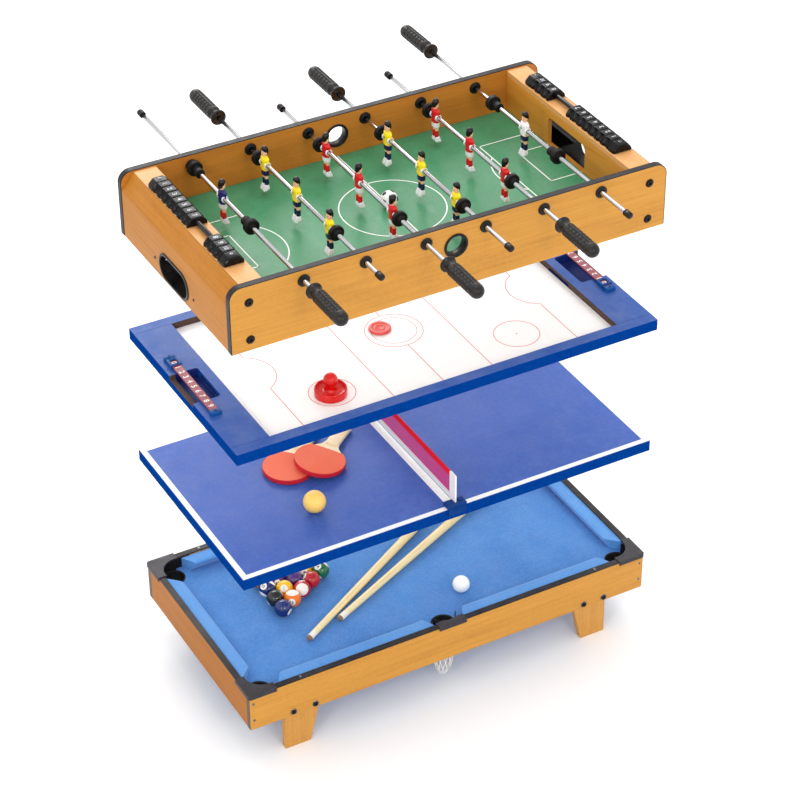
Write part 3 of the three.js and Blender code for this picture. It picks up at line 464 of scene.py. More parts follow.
def stretched(tree, place, sizes):
    """A place multiplied by a size for each axis."""
    return add_node(tree, "ShaderNodeVectorMath", {0: place, 1: sizes}, operation="MULTIPLY").outputs[0]


def mixed(tree, factor, a, b):
    return add_node(tree, "ShaderNodeMix", {0: factor, 6: a, 7: b}, data_type="RGBA").outputs[2]


def span(tree, value, low, high, out_low=0.0, out_high=1.0):
    return add_node(tree, "ShaderNodeMapRange",
                    {0: value, 1: low, 2: high, 3: out_low, 4: out_high}).outputs[0]


FLOAT = "NodeSocketFloat"
COLOUR = "NodeSocketColor"
VECTOR = "NodeSocketVector"
GREY = (0.5, 0.5, 0.5, 1.0)


def shader_group(name, **inputs):
    """An empty group of nodes; an input is a colour, a vector or a number, as its value is."""
    tree = bpy.data.node_groups.new(name, "ShaderNodeTree")
    for label, value in inputs.items():
        kind = FLOAT if isinstance(value, float) else COLOUR if len(value) == 4 else VECTOR
        socket = tree.interface.new_socket(label.replace("_", " "), in_out="INPUT", socket_type=kind)
        socket.default_value = value
    return tree, tree.nodes.new("NodeGroupInput").outputs


def finish_group(tree, **outputs):
    """Gives the group its outputs: a colour and, where named, numbers."""
    for label in outputs:
        kind = COLOUR if label == "Colour" else FLOAT
        tree.interface.new_socket(label, in_out="OUTPUT", socket_type=kind)
    result = tree.nodes.new("NodeGroupOutput").inputs
    for label, value in outputs.items():
        tree.links.new(value, result[label])
    return tree


def wood_grain_group():
    """Printed wood: long fibres, slow tone bands and short pores. Grain Size is repeats per metre."""
    tree, source = shader_group("Wood grain", Light=GREY, Dark=GREY, Grain_Size=(9, 330, 330), Strength=0.6)
    place = object_place(tree)
    scaled = stretched(tree, place, source["Grain Size"])
    slow = stretched(tree, scaled, (0.35, 0.12, 0.12))
    fibres = noise(tree, scaled, 1.0, 5.0, roughness=0.62, distortion=0.25)
    bands = noise(tree, slow, 1.0, 3.0, distortion=0.8)
    pores = noise(tree, scaled, 3.1, 2.0)
    fibre = span(tree, fibres, 0.3, 0.72)
    band = span(tree, bands, 0.32, 0.68)
    pore = span(tree, pores, 0.62, 0.74)
    both = arithmetic(tree, "ADD", times(tree, fibre, 0.6), times(tree, band, 0.4))
    amount = times(tree, both, source["Strength"], clamp=True)
    tone = mixed(tree, amount, source["Light"], source["Dark"])
    tone = mixed(tree, times(tree, pore, 0.35), tone, source["Dark"])
    return finish_group(tree, Colour=tone, Relief=arithmetic(tree, "SUBTRACT", both, pore),
                        Shine=span(tree, fibres, 0.2, 0.8))


def cloth_nap_group():
    """Brushed cloth: short fibres, a fine weave and slow shading from wear."""
    tree, source = shader_group("Cloth nap", Base=GREY, Deep=GREY, Fibre_Scale=700.0, Wear=0.3)
    place = object_place(tree)
    fibres = noise(tree, place, source["Fibre Scale"], 3.0, roughness=0.7)
    weave = add_node(tree, "ShaderNodeTexVoronoi",
                     {"Vector": place, "Scale": times(tree, source["Fibre Scale"], 1.6)})
    slow = noise(tree, place, 9.0, 3.0)
    fibre = span(tree, fibres, 0.3, 0.7)
    worn = times(tree, span(tree, slow, 0.35, 0.7), source["Wear"])
    amount = arithmetic(tree, "ADD", times(tree, fibre, 0.6), worn, clamp=True)
    return finish_group(tree, Colour=mixed(tree, amount, source["Base"], source["Deep"]),
                        Relief=arithmetic(tree, "ADD", fibre, weave.outputs["Distance"]))


def moulded_skin_group():
    """Moulded plastic: a fine leathery skin, flow marks and paler rubbed places."""
    tree, source = shader_group("Moulded skin", Base=GREY, Rubbed=GREY, Skin_Scale=1500.0, Rub=0.25)
    place = object_place(tree)
    skin_noise = noise(tree, place, source["Skin Scale"], 2.0)
    flow = noise(tree, place, 60.0, 4.0, distortion=0.6)
    rubbed = times(tree, span(tree, flow, 0.45, 0.75), source["Rub"], clamp=True)
    return finish_group(tree, Colour=mixed(tree, rubbed, source["Base"], source["Rubbed"]),
                        Roughness=span(tree, flow, 0.3, 0.7, 0.0, 1.0), Relief=skin_noise)


def edge_wear_group():
    """Edges that handling has rubbed paler."""
    tree, source = shader_group("Edge wear", Colour=GREY, Worn=GREY, Amount=0.5)
    geometry = add_node(tree, "ShaderNodeNewGeometry")
    place = object_place(tree)
    patches = noise(tree, place, 140.0, 3.0)
    edge = span(tree, geometry.outputs["Pointiness"], 0.505, 0.56)
    patch = span(tree, patches, 0.4, 0.65)
    mask = times(tree, times(tree, edge, patch), source["Amount"], clamp=True)
    return finish_group(tree, Colour=mixed(tree, mask, source["Colour"], source["Worn"]))


def dust_group():
    """A thin film of dust on faces that look up, thicker in slow patches."""
    tree, source = shader_group("Dust film", Colour=GREY, Dust=linear("E6E0D8"), Amount=0.08)
    geometry = add_node(tree, "ShaderNodeNewGeometry")
    up = add_node(tree, "ShaderNodeSeparateXYZ", {0: geometry.outputs["Normal"]}).outputs["Z"]
    place = object_place(tree)
    patches = noise(tree, place, 22.0, 5.0)
    film = times(tree, span(tree, up, 0.2, 1.0), span(tree, patches, 0.3, 0.75))
    mask = times(tree, film, source["Amount"], clamp=True)
    return finish_group(tree, Colour=mixed(tree, mask, source["Colour"], source["Dust"]))


def polish_marks_group():
    """Drawn metal: streaks along the bar and small bright and dull places."""
    tree, source = shader_group("Polish marks", Bright=GREY, Dull=GREY, Streak_Size=(900, 6, 900))
    place = object_place(tree)
    scaled = stretched(tree, place, source["Streak Size"])
    streaks = noise(tree, scaled, 1.0, 3.0)
    amount = span(tree, streaks, 0.35, 0.7)
    return finish_group(tree, Colour=mixed(tree, amount, source["Bright"], source["Dull"]),
                        Roughness=span(tree, streaks, 0.3, 0.7, 0.08, 0.24), Relief=streaks)


WOOD_GRAIN = wood_grain_group()
CLOTH_NAP = cloth_nap_group()
MOULDED_SKIN = moulded_skin_group()
EDGE_WEAR = edge_wear_group()
DUST_FILM = dust_group()
POLISH_MARKS = polish_marks_group()


def group_outputs(tree, group, inputs):
    return add_node(tree, "ShaderNodeGroup", inputs, node_tree=group).outputs


def new_material(name):
    material = bpy.data.materials.new(name)
    material.use_nodes = True
    tree = material.node_tree
    return material, tree, tree.nodes["Principled BSDF"]


def rubbed_edges(tree, colour, worn, amount):
    return group_outputs(tree, EDGE_WEAR, {"Colour": colour, "Worn": linear(worn),
                                           "Amount": amount})["Colour"]


def dusted(tree, colour, amount):
    return group_outputs(tree, DUST_FILM, {"Colour": colour, "Amount": amount})["Colour"]


def relief(tree, height, distance, strength):
    """A normal that follows a height, so that the light shows it."""
    inputs = {"Height": height, "Distance": distance, "Strength": strength}
    return add_node(tree, "ShaderNodeBump", inputs).outputs["Normal"]


def wood_finish(name, light, dark, grain=(7, 260, 260), strength=0.7, roughness=(0.36, 0.5), specular=0.32):
    material, tree, shader = new_material(name)
    colours = {"Light": linear(light), "Dark": linear(dark)}
    wood = group_outputs(tree, WOOD_GRAIN, {**colours, "Grain Size": grain, "Strength": strength})
    fill(tree, shader, {
        "Base Color": dusted(tree, rubbed_edges(tree, wood["Colour"], light, 0.35), 0.03),
        "Roughness": span(tree, wood["Shine"], 0.0, 1.0, *roughness),
        "Specular IOR Level": specular,
        "Normal": relief(tree, wood["Relief"], 0.00012, 0.35)})
    return material


def plastic_finish(name, base, rubbed, roughness=(0.3, 0.45), skin_scale=1500.0, rub=0.3, depth=0.00008,
                   specular=0.5, wear=0.3, dust=0.03):
    material, tree, shader = new_material(name)
    colours = {"Base": linear(base), "Rubbed": linear(rubbed)}
    moulded = group_outputs(tree, MOULDED_SKIN, {**colours, "Skin Scale": skin_scale, "Rub": rub})
    fill(tree, shader, {
        "Base Color": dusted(tree, rubbed_edges(tree, moulded["Colour"], rubbed, wear), dust),
        "Roughness": span(tree, moulded["Roughness"], 0.0, 1.0, *roughness),
        "Specular IOR Level": specular,
        "Normal": relief(tree, moulded["Relief"], depth, 0.4)})
    return material


def cloth_finish(name, base, deep, fibre_scale=700.0, wear=0.3, sheen=0.3, depth=0.0003, roughness=0.9):
    material, tree, shader = new_material(name)
    colours = {"Base": linear(base), "Deep": linear(deep)}
    nap = group_outputs(tree, CLOTH_NAP, {**colours, "Fibre Scale": fibre_scale, "Wear": wear})
    fill(tree, shader, {
        "Base Color": dusted(tree, nap["Colour"], 0.04),
        "Roughness": roughness, "Sheen Weight": sheen, "Sheen Roughness": 0.5, "Specular IOR Level": 0.25,
        "Normal": relief(tree, nap["Relief"], depth, 0.5)})
    return material


def metal_finish(name, bright, dull, streaks=(900, 6, 900)):
    material, tree, shader = new_material(name)
    colours = {"Bright": linear(bright), "Dull": linear(dull)}
    drawn = group_outputs(tree, POLISH_MARKS, {**colours, "Streak Size": streaks})
    fill(tree, shader, {
        "Base Color": dusted(tree, drawn["Colour"], 0.03),
        "Roughness": drawn["Roughness"], "Metallic": 1.0,
        "Normal": relief(tree, drawn["Relief"], 0.00003, 0.2)})
    return material


# Finishes

# Wood grain that runs along one axis, as repeats per metre on each
ALONG_X = (7, 240, 240)
ALONG_Y = (240, 7, 240)
ALONG_Z = (240, 240, 7)

OAK = wood_finish("honey board", "CE9236", "A66A1C", ALONG_X)
# Painted shade: a darker copy of the honey board for the inner faces of the long panels, where the case
# shades them
OAK_INSIDE_SHADE = wood_finish("honey board inside", "C87E2C", "A05E1A", ALONG_X)
# Painted shade: a darker copy of the honey board for the foosball end panels, which less light reaches; its
# grain runs along Y
OAK_END_SHADE = wood_finish("honey board end grain direction", "BC7A26", "965A14", ALONG_Y, specular=0.16)
# Painted light: a brighter copy of the honey board for the goal walls, lifting them against the shade in the
# goal box
OAK_GOAL_LIT = wood_finish("goal wall board", "DE963A", "BA7820", ALONG_Y)
# Painted shade: a darker copy of the honey board for the pool end panels
OAK_POOL_END_SHADE = wood_finish("pool end board", "AE6A18", "8C500C", ALONG_Y, specular=0.1)
OAK_LEG = wood_finish("leg board", "D09646", "AA7028", ALONG_Z)
PALE_OAK = wood_finish("pale board", "E0A668", "CA8A46", ALONG_Y)
RAW_BOARD = wood_finish("raw board", "5C463C", "3A2A24", grain=(500, 500, 500), roughness=(0.7, 0.9))
CUE_WOOD = wood_finish("cue wood", "FFF0BE", "DCA852", grain=(260, 9, 260), strength=0.8,
                       roughness=(0.25, 0.35))
CUE_BUTT = wood_finish("cue butt wood", "E2B070", "B87C38", grain=(260, 9, 260), strength=0.6,
                       roughness=(0.25, 0.35))
BLADE_WOOD = wood_finish("racket wood", "F6E3BC", "E0C08C", grain=(40, 500, 900), strength=0.5)
END_BAND = plastic_finish("dark end band", "3A2C26", "5A4840", (0.4, 0.55), rub=0.4)
EDGE_BAND = plastic_finish("dark edge band", "1A161A", "322E34", (0.36, 0.48), rub=0.25, specular=0.2)
GREEN_FIELD = plastic_finish("green field", "38865A", "469668", (0.38, 0.5), skin_scale=900, rub=0.5)
BLACK = plastic_finish("black moulding", "131112", "262425", (0.26, 0.38), specular=0.2)
GLOSS_BLACK = plastic_finish("black counter bar", "0E0B0E", "221E28", (0.12, 0.2), specular=0.3)
BLACK_RUBBER = plastic_finish("black rubber", "131112", "242220", (0.42, 0.56), skin_scale=2200, rub=0.35,
                              specular=0.16)
BLACK_BEADS = plastic_finish("black beads", "080607", "242223", (0.2, 0.3), rub=0.2, wear=0.15,
                             specular=0.17, dust=0.01)
BLACK_GRIP = plastic_finish("black grip", "120F0E", "342E2B", (0.24, 0.36), skin_scale=2400, rub=0.35,
                            specular=0.3)
CAP_BLACK = plastic_finish("pocket cap", "2A272B", "464248", (0.34, 0.48), rub=0.35, specular=0.26)
DIGIT_INK = plastic_finish("bead digit ink", "C6C6CA", "A4A4A8", (0.4, 0.55), rub=0.4, dust=0.0)
BACKING = plastic_finish("field backing", "EEECE8", "E2E0DC", (0.6, 0.75), skin_scale=700, rub=0.4)
WHITE_INK = plastic_finish("white ink", "F4F4F0", "E4E4DE", (0.4, 0.55), dust=0.0)
RED_INK = plastic_finish("red ink", "D8504E", "E27A76", (0.4, 0.55), rub=0.4, dust=0.0)
BLACK_INK = plastic_finish("black ink", "18161A", "2C2A2E", (0.3, 0.4), dust=0.0)
HOCKEY_BLUE = plastic_finish("hockey blue", "1A4CA0", "2E62B2", (0.34, 0.46), skin_scale=1100, rub=0.35,
                             specular=0.22, dust=0.07)
# Painted shade: a darker copy of the hockey blue for the insides of the pockets and slots, where shade falls
POCKET_SHADE_BLUE = plastic_finish("hockey pocket", "142A72", "20388A", (0.5, 0.65), rub=0.4, specular=0.2)
HOCKEY_WHITE = plastic_finish("hockey field white", "FDFDFD", "F6F6F8", (0.28, 0.4), skin_scale=700, rub=0.4)
BOARD_BLUE = plastic_finish("ping-pong blue", "3054A8", "466ABA", (0.42, 0.55), skin_scale=900, rub=0.45,
                            specular=0.3)
# Painted shade: a darker, unglossed copy of the blue for the sides of the boards and rails, whose tops keep
# the lighter blue
BOARD_SIDE_SHADE = plastic_finish("blue board side painted shade", "023480", "0A4290", (0.4, 0.5), specular=0.0)
STRIP_MAROON = plastic_finish("score strip", "963A48", "A85460", (0.4, 0.5))
SLIDER_BLUE = plastic_finish("score slider", "0A4A92", "2062A8", (0.3, 0.4), specular=0.14)
HOCKEY_RED = plastic_finish("pusher red", "D80A08", "EA2018", (0.1, 0.18), specular=0.42, wear=0.1)
PUCK_RED = plastic_finish("puck red", "E0443A", "EA6A5E", (0.3, 0.42), rub=0.4)
RUBBER_RED = cloth_finish("racket rubber", "F4704C", "E05E3C", fibre_scale=900, wear=0.35, sheen=0.0,
                          depth=0.0002, roughness=0.55)
RUBBER_EDGE = plastic_finish("racket rubber edge", "C80A20", "DC2A36", (0.45, 0.55))
BALL_YELLOW = plastic_finish("ping-pong ball", "FCCC64", "FCD684", (0.3, 0.38), depth=0.00002)
NET_RED = cloth_finish("net band", "F01028", "D80A20", fibre_scale=1500, wear=0.3, sheen=0.0, depth=0.0002)
NET_MESH = cloth_finish("net mesh", "EC3078", "D02468", fibre_scale=1800, wear=0.3, sheen=0.0, depth=0.0001)
NET_WHITE = cloth_finish("net white band", "EFECEC", "DAD6D8", fibre_scale=1500, wear=0.3, depth=0.0002)
POST_WHITE = plastic_finish("net post", "F0EDEA", "DCD8D6", (0.3, 0.4))
CLIP_BLUE = plastic_finish("net clip", "023274", "0C448C", (0.3, 0.4), specular=0.05)
TABLE_CLOTH = cloth_finish("pool cloth", "4E90D4", "2864B0", fibre_scale=300, wear=0.3)
CUSHION_CLOTH = cloth_finish("cushion cloth", "5E9CDC", "3E80C8", fibre_scale=400, wear=0.3)
POCKET_NET = cloth_finish("pocket net", "F2F0EC", "D8D4CE", fibre_scale=1500, wear=0.3, depth=0.0003)
CHROME = metal_finish("chrome rod", "CCCCCE", "A6A6AA")
STEEL = metal_finish("steel screw", "8E8C8A", "6A6866", streaks=(700, 700, 700))
FERRULE = plastic_finish("cue ferrule", "F4EEDC", "E2D8C2", (0.25, 0.35))
CUE_TIP = cloth_finish("cue tip", "9A7E66", "705646", fibre_scale=2500, wear=0.5, depth=0.0003)
FOOTBALL_WHITE = plastic_finish("football white", "F2F2F2", "E0E0E2", (0.28, 0.38))
FOOTBALL_BLACK = plastic_finish("football black", "1A181A", "302E30", (0.28, 0.38))


def toy_finish(name, base, rubbed):
    return plastic_finish(name, base, rubbed, (0.2, 0.32), rub=0.25, wear=0.15, dust=0.01, depth=0.00004,
                          specular=0.35)


HAIR = toy_finish("toy hair", "0A0809", "1E1A1C")
SKIN = toy_finish("toy skin", "F0BC92", "F6CCA8")
TOY_WHITE = toy_finish("toy white", "F0F0F2", "DEDEE4")
TOY_RED = toy_finish("toy red", "D01018", "E2303A")
TOY_YELLOW = toy_finish("toy yellow", "F6DC08", "FAE64A")
TOY_NAVY = toy_finish("toy navy", "14163E", "24285A")
TOY_BLUE = toy_finish("toy blue", "171A66", "262B8A")


def ball_finish(name, base, rubbed):
    return plastic_finish(name, base, rubbed, (0.05, 0.09), skin_scale=300, rub=0.2, depth=0.00001,
                          specular=0.7, wear=0.0, dust=0.0)


BALL_WHITE = ball_finish("ball white", "F4F0E6", "E8E2D4")
CUE_BALL_WHITE = ball_finish("cue ball white", "FEFDFA", "F6F4F0")
BALL_COLOURS = {
    1: ball_finish("ball yellow", "F8BC08", "FCCC28"),
    2: ball_finish("ball blue", "0E2468", "18327C"),
    3: ball_finish("ball red", "B80A1A", "C81C2A"),
    4: ball_finish("ball purple", "4A2470", "5A3080"),
    5: ball_finish("ball orange", "F47600", "F88814"),
    6: ball_finish("ball green", "0C6A3E", "147A4A"),
    7: ball_finish("ball maroon", "8A1626", "9A2436"),
    8: ball_finish("ball black", "141214", "242224"),
}


# Camera: one view from the front left and above, as the photograph has


def set_camera():
    azimuth, elevation = math.radians(-28.7), math.radians(35.2)
    roll = turn_about("Z", -0.38)
    level = math.cos(elevation)
    forward = Vector((-math.sin(azimuth) * level, math.cos(azimuth) * level, -math.sin(elevation)))
    right = Vector((math.cos(azimuth), math.sin(azimuth), 0))
    above = right.cross(forward)
    turn = Matrix((right, above, -forward)).transposed().to_4x4()
    data = bpy.data.cameras.new("camera")
    data.lens = 117
    data.sensor_width = 36
    data.clip_end = 60
    camera = new_object("camera", data)
    camera.matrix_world = at(-1.791, -3.292 + FOOSBALL.y, 3.163) @ turn @ roll
    bpy.context.scene.camera = camera


def floor_finish():
    material, tree, shader = new_material("studio floor")
    place = object_place(tree)
    cloud = noise(tree, place, 0.6, 2.0)
    fill(tree, shader, {"Base Color": mixed(tree, cloud, linear("FDFDFD"), linear("FAFAFA")),
                        "Roughness": 0.9, "Specular IOR Level": 0.1})
    return material


def area_light(name, place, target, size, power):
    data = bpy.data.lights.new(name, "AREA")
    data.shape = "RECTANGLE"
    data.size, data.size_y = size
    data.energy = power
    light = new_object(name, data)
    aim = (Vector(target) - Vector(place)).to_track_quat("-Z", "Y")
    light.matrix_world = Matrix.Translation(place) @ aim.to_matrix().to_4x4()


def set_studio():
    floor_mesh = bpy.data.meshes.new("studio_floor")
    reach = 9
    corners = [(-reach, -reach, 0), (reach, -reach, 0), (reach, reach, 0), (-reach, reach, 0)]
    floor_mesh.from_pydata(corners, [], [(0, 1, 2, 3)])
    floor_mesh.materials.append(floor_finish())
    new_object("studio_floor", floor_mesh)
    world = bpy.data.worlds.new("studio")
    world.use_nodes = True
    sky = world.node_tree.nodes["Background"].inputs
    sky["Color"].default_value = (1, 1, 1, 1)
    sky["Strength"].default_value = 1.12
    bpy.context.scene.world = world
    area_light("left front box", (-3.3, -2.7, 2.9), (0, 0, 0.55), (0.8, 0.8), 30)
    area_light("right front box", (-0.1, -4.3, 2.8), (0, 0, 0.55), (0.9, 0.9), 30)
    area_light("top box", (0.2, 0.6, 4.6), (0, 0, 0.4), (2.4, 1.4), 30)
    area_light("back box", (0.9, 3.6, 2.9), (0, 0, 0.4), (2.4, 1.6), 60)
    bpy.context.scene.view_settings.view_transform = "Standard"


set_camera()
set_studio()


# Small fittings


def bolt_head(radius, height, out):
    """A domed head with a hexagon socket, standing out along -Y from Y 0."""
    steps = 24
    socket = radius * 0.5

    def hexagon(r, y):
        points = []
        for i in range(steps):
            angle = 2 * math.pi * i / steps
            within = (angle + math.pi / 6) % (math.pi / 3) - math.pi / 6
            reach = r * math.cos(math.pi / 6) / math.cos(within)
            points.append((reach * math.cos(angle), y, reach * math.sin(angle)))
        return points

    dome = [(radius, 0.2), (radius, -height * 0.45), (radius * 0.9, -height * 0.85), (radius * 0.7, -height)]
    rings = [ring_round_y(r, y, steps) for r, y in dome]
    rings += [hexagon(socket, -height), hexagon(socket * 0.96, -height * 0.25)]
    return rolled(skin(rings), out)


def washer(radius, out):
    """A flat ring under a bolt head, standing out along -Y from Y 0."""
    profile = [(radius - 3, -0.2), (radius, -0.2), (radius, 0.7), (radius - 0.5, 1.1), (radius - 3, 1.1)]
    return rolled(turned([(r, -y) for r, y in profile], 32, "Y", loop=True), out)


# Foosball top

ROD_PITCH = 110
ROD_HEIGHT = 100
ROD_X = [-275 + ROD_PITCH * i for i in range(6)]
PANEL_HEIGHT = 120
PANEL_CORNER = 22
BAND = 1.8
FEED_HEIGHT = 80
EXIT = (106, 46, 6)
GOAL_WALL = (340, 349)
MEN_PITCH = 117
FIELD_X = 339.7
FIELD_Y = 199.7
STOP_PLACE = 142
KEEPER_STOP_PLACE = 98


def panel_outline(inset):
    edge = HALF_LENGTH - PANEL_CORNER
    shoulder = PANEL_HEIGHT - PANEL_CORNER
    radius = PANEL_CORNER - inset
    return ([(-HALF_LENGTH + inset, 0), (HALF_LENGTH - inset, 0)]
            + arc(edge, shoulder, radius, 0, 90, 14) + arc(-edge, shoulder, radius, 90, 180, 14))


def band_outline():
    outer = panel_outline(0)
    inner = panel_outline(BAND)
    return outer[1:] + outer[:1] + inner[:1] + list(reversed(inner[1:]))


def long_panel(name, side):
    node = f"{name}_panel"
    low, high = across(side, INSIDE, HALF_WIDTH)
    holes = [circle(x, ROD_HEIGHT, 6, 24) for x in ROD_X] + [circle(0, FEED_HEIGHT, 18.6, 40)]
    board = Form().add(plate(panel_outline(BAND * 0.8), low, high, holes, axis="Y"), 0)
    # Inner faces take the darker inside copy of the board, a painted shade
    for i, face in enumerate(board.faces):
        centre = sum((board.points[c] for c in face), Vector()) / len(face)
        board.finishes[i] = 1 if abs(centre.y) < INSIDE + 0.1 else 0
    foosball_piece(f"{name}_board", board, [OAK, OAK_INSIDE_SHADE], "honey_board", [node], bevel=0.3)
    band = Form().add(plate(band_outline(), low - 0.15, high + 0.15, axis="Y"))
    foosball_piece(f"{name}_edge_band", band, [EDGE_BAND], "black_moulding", bevel=0.7, rounds=3)
    rods = Form()
    middle = side * (INSIDE + BOARD / 2)
    half = BOARD / 2
    outer = [(4.9, 3.4), (5.4, 4.0), (6.6, 4.0), (7.2, 3.6), (7.4, 2.9), (9.9, 2.6), (10.8, 1.8),
             (10.8, -0.1), (5.9, -0.1)]
    profile = [(r, half + y) for r, y in outer] + [(r, -half - y) for r, y in reversed(outer)]
    for x in ROD_X:
        rods.add(turned(profile, 32, "Y", loop=True), place=at(x, middle, ROD_HEIGHT))
    foosball_piece(f"{name}_bushings", rods, [BLACK], "black_moulding", [node], sharp=50)
    rim = [(17.6, half + 1.6), (18.4, half + 2.5), (20.6, half + 2.5), (22, half + 1.3), (22, half - 0.1),
           (18.4, half - 0.1), (18.4, -half + 0.1), (22, -half + 0.1), (22, -half - 1.3),
           (20.6, -half - 2.5), (18.4, -half - 2.5), (17.6, -half - 1.6)]
    feed = Form().add(turned(rim, 56, "Y", loop=True), place=at(0, middle, FEED_HEIGHT))
    foosball_piece(f"{name}_ball_feed_rim", feed, [BLACK], "black_moulding", [node], sharp=50)
    heads = Form()
    turn = half_turn(side > 0)
    for x in (-371, 371):
        for z in (20, 89):
            heads.add(washer(7.6, turn), 1, at(x, side * HALF_WIDTH, z))
            heads.add(bolt_head(5.6, 3.2, turn), 0, at(x, side * HALF_WIDTH, z))
    foosball_piece(f"{name}_bolts", heads, [BLACK, BLACK_RUBBER], "black_moulding", [node], sharp=30)


def end_panel(name, side):
    """Upright below, leaning in above, with a round-ended exit for the ball."""
    node = f"{name}_panel"
    reach = INSIDE - 0.3
    profile = [(404, 0), (404, 86), (403.2, 88.2), (382, 116.2), (381, 117), (376.5, 108), (395, 81.5),
               (395, 0)]
    board = Form().add(plate([(side * x, z) for x, z in profile], -reach, reach, axis="Y"))
    hole = Form().add(plate(stadium(*EXIT, 0.3), side * 380, side * 420, axis="X"))
    # The end board takes the darker end copy of the honey board, a painted shade
    mesh = carve(f"{name}_board", board, [hole], [OAK_END_SHADE, BLACK_RUBBER], FOOSBALL)
    # Painted shade: the inner face of the end panel, facing into the goal box, takes black rubber for the
    # shade there
    for face in mesh.polygons:
        middle = (face.center - FOOSBALL) / MM
        if face.normal.x * side < -0.3 and abs(middle.x) < 400:
            face.material_index = 1
    piece = place_mesh(f"{name}_board", mesh, "foosball_top", [node])
    soften(piece, 0.5, 2)
    screws = Form()
    for y in (-74, 74):
        screws.add(bolt_head(2.6, 1.0, TO_RIGHT if side > 0 else TO_LEFT), place=at(side * 404, y, 26))
    foosball_piece(f"{name}_screws", screws, [BLACK], "black_moulding", [node], sharp=30)


def goal_box(name, node, side):
    reach = INSIDE - 0.3
    mouth = ([(-60, 40)] + arc(-48, 80, 12, 180, 90, 8) + arc(48, 80, 12, 90, 0, 8) + [(60, 40)])
    low, high = across(side, *GOAL_WALL)
    wall = Form().add(plate(straight(-reach, reach, 0, 108), low, high, [mouth], axis="X"))
    # The goal wall takes the brighter copy of the honey board, painted light
    foosball_piece(f"{name}_wall", wall, [OAK_GOAL_LIT], "honey_board", [node], bevel=0.5)
    top = [(340, 108), (376.2, 108), (380.7, 117), (340, 117)]
    board = Form().add(plate([(side * x, z) for x, z in top], -reach, reach, axis="Y"))
    foosball_piece(f"{name}_top_board", board, [PALE_OAK], "pale_board", [node], bevel=0.6, rounds=3)
    # Painted shade: black floors either side of the ball trough darken the inside of the goal box
    low, high = across(side, 348.6, 391.5)
    shelf = Form()
    for y in (-198.5, 53.5):
        shelf.add(block(low, high, y, y + 145, 27.2, 29.2))
    foosball_piece(f"{name}_dark_floor", shelf, [BLACK_RUBBER], "black_moulding", [node], bevel=0.3)


def line_plates(form, lines, low, high):
    for outline in lines:
        form.add(plate(outline, low, high))


def field():
    slab = Form().add(block(-FIELD_X, FIELD_X, -FIELD_Y, FIELD_Y, 36, 40))
    slab.finishes[0] = 1
    foosball_piece("field_board", slab, [GREEN_FIELD, BACKING], "green_field", ["foosball_field"], bevel=0.3)
    wide = 2.2
    lines = [arc_band(0, 0, 91, wide, 0, 360, 96), straight(-wide / 2, wide / 2, -199, 199)]
    lines.append(circle(0, 0, 3.4, 24))
    box_x, spot_x, curve = 229, 298, 92
    for s in (-1, 1):
        for x, y in ((box_x, 107), (277, 56)):
            near, far = across(s, x, 339)
            lines.append(straight(near, far, y - wide, y))
            lines.append(straight(near, far, -y, -y + wide))
            edge = across(s, x, x + wide)
            lines.append(straight(edge[0], edge[1], -y, y))
        half = math.degrees(math.acos((spot_x - box_x) / curve))
        middle = 180 if s > 0 else 0
        lines.append(arc_band(s * spot_x, 0, curve, wide, middle - half, middle + half, 32))
    marks = Form()
    line_plates(marks, lines, 39.9, 40.12)
    foosball_piece("field_lines", marks, [WHITE_INK], "green_field", ["foosball_field"])


def ball_tray(name, node, side):
    """A black trough that leads out of the end panel, open towards the goal."""
    tray = Form()
    outside, inside = stadium(*EXIT), stadium(*EXIT, -2)

    low, high = across(side, 394.7, 405.5)
    tray.add(plate(outside, low, high, [inside], axis="X"))
    half = [(y, z) for y, z in outside if z <= 29.01]
    half_in = [(y, z) for y, z in inside if z <= 29.01]
    half.sort(key=lambda p: p[0])
    half_in.sort(key=lambda p: p[0])
    low, high = across(side, 361.9, 394.8)
    tray.add(plate(half + list(reversed(half_in)), low, high, axis="X"))
    low, high = across(side, 360, 362)
    tray.add(plate(half, low, high, axis="X"))
    low, high = across(side, 350.4, 362)
    tray.add(block(low, high, -52, 52, 27.4, 29))
    foosball_piece(f"{name}_trough", tray, [BLACK], "black_moulding", [node], bevel=0.3, rounds=1)
    rim = Form()
    rings = []
    for grow, x in ((-2, 404.2), (-2, 405.2), (-1.2, 405.9), (1.6, 405.9), (3, 405.0), (3, 403.9)):
        rings.append([(side * x, y, z) for y, z in stadium(*EXIT, grow, 20)])
    rim.add(skin(rings, loop=True))
    foosball_piece(f"{name}_rim", rim, [BLACK], "black_moulding", [node], sharp=60)


# Score counters over the top boards

COUNTER_X = 361
BEAD_LENGTH = 19
COUNTER_HALF = 124.3
BEAD_HEIGHT = 15
BEAD_BASE = 117.6


def bead_section(dent, inset):
    half, top, height, shoulder = 18.5 - inset, 9.5 - inset * 0.6, BEAD_HEIGHT - inset, 5.25
    waist = [(half - 0.35 * (half - top) - dent, shoulder + 0.35 * (height - shoulder) - dent * 0.4),
             (half - 0.7 * (half - top) - dent * 0.7, shoulder + 0.7 * (height - shoulder) - dent * 0.3)]
    side = [(half - dent * 0.5, inset * 0.4), (half - dent * 0.7, shoulder - 0.8)] + waist
    side += [(top, height - 0.2), (top - 1, height)]
    return side + [(-u, v) for u, v in reversed(side)]


def bead_shape():
    """One bead along +Y from 0, with a finger dent in each flank."""
    rings = []
    steps = [(0.25, 0, 1.6), (1.0, 0, 0.5), (2.4, 0, 0)]
    for i in range(7):
        t = i / 6
        steps.append((3.4 + 12.2 * t, 4.4 * math.sin(math.pi * t) ** 0.7, 0))
    steps += [(16.6, 0, 0), (18.0, 0, 0.5), (18.75, 0, 1.6)]
    for y, dent, inset in steps:
        rings.append([(u, y, v) for u, v in bead_section(dent, inset)])
    return skin(rings)


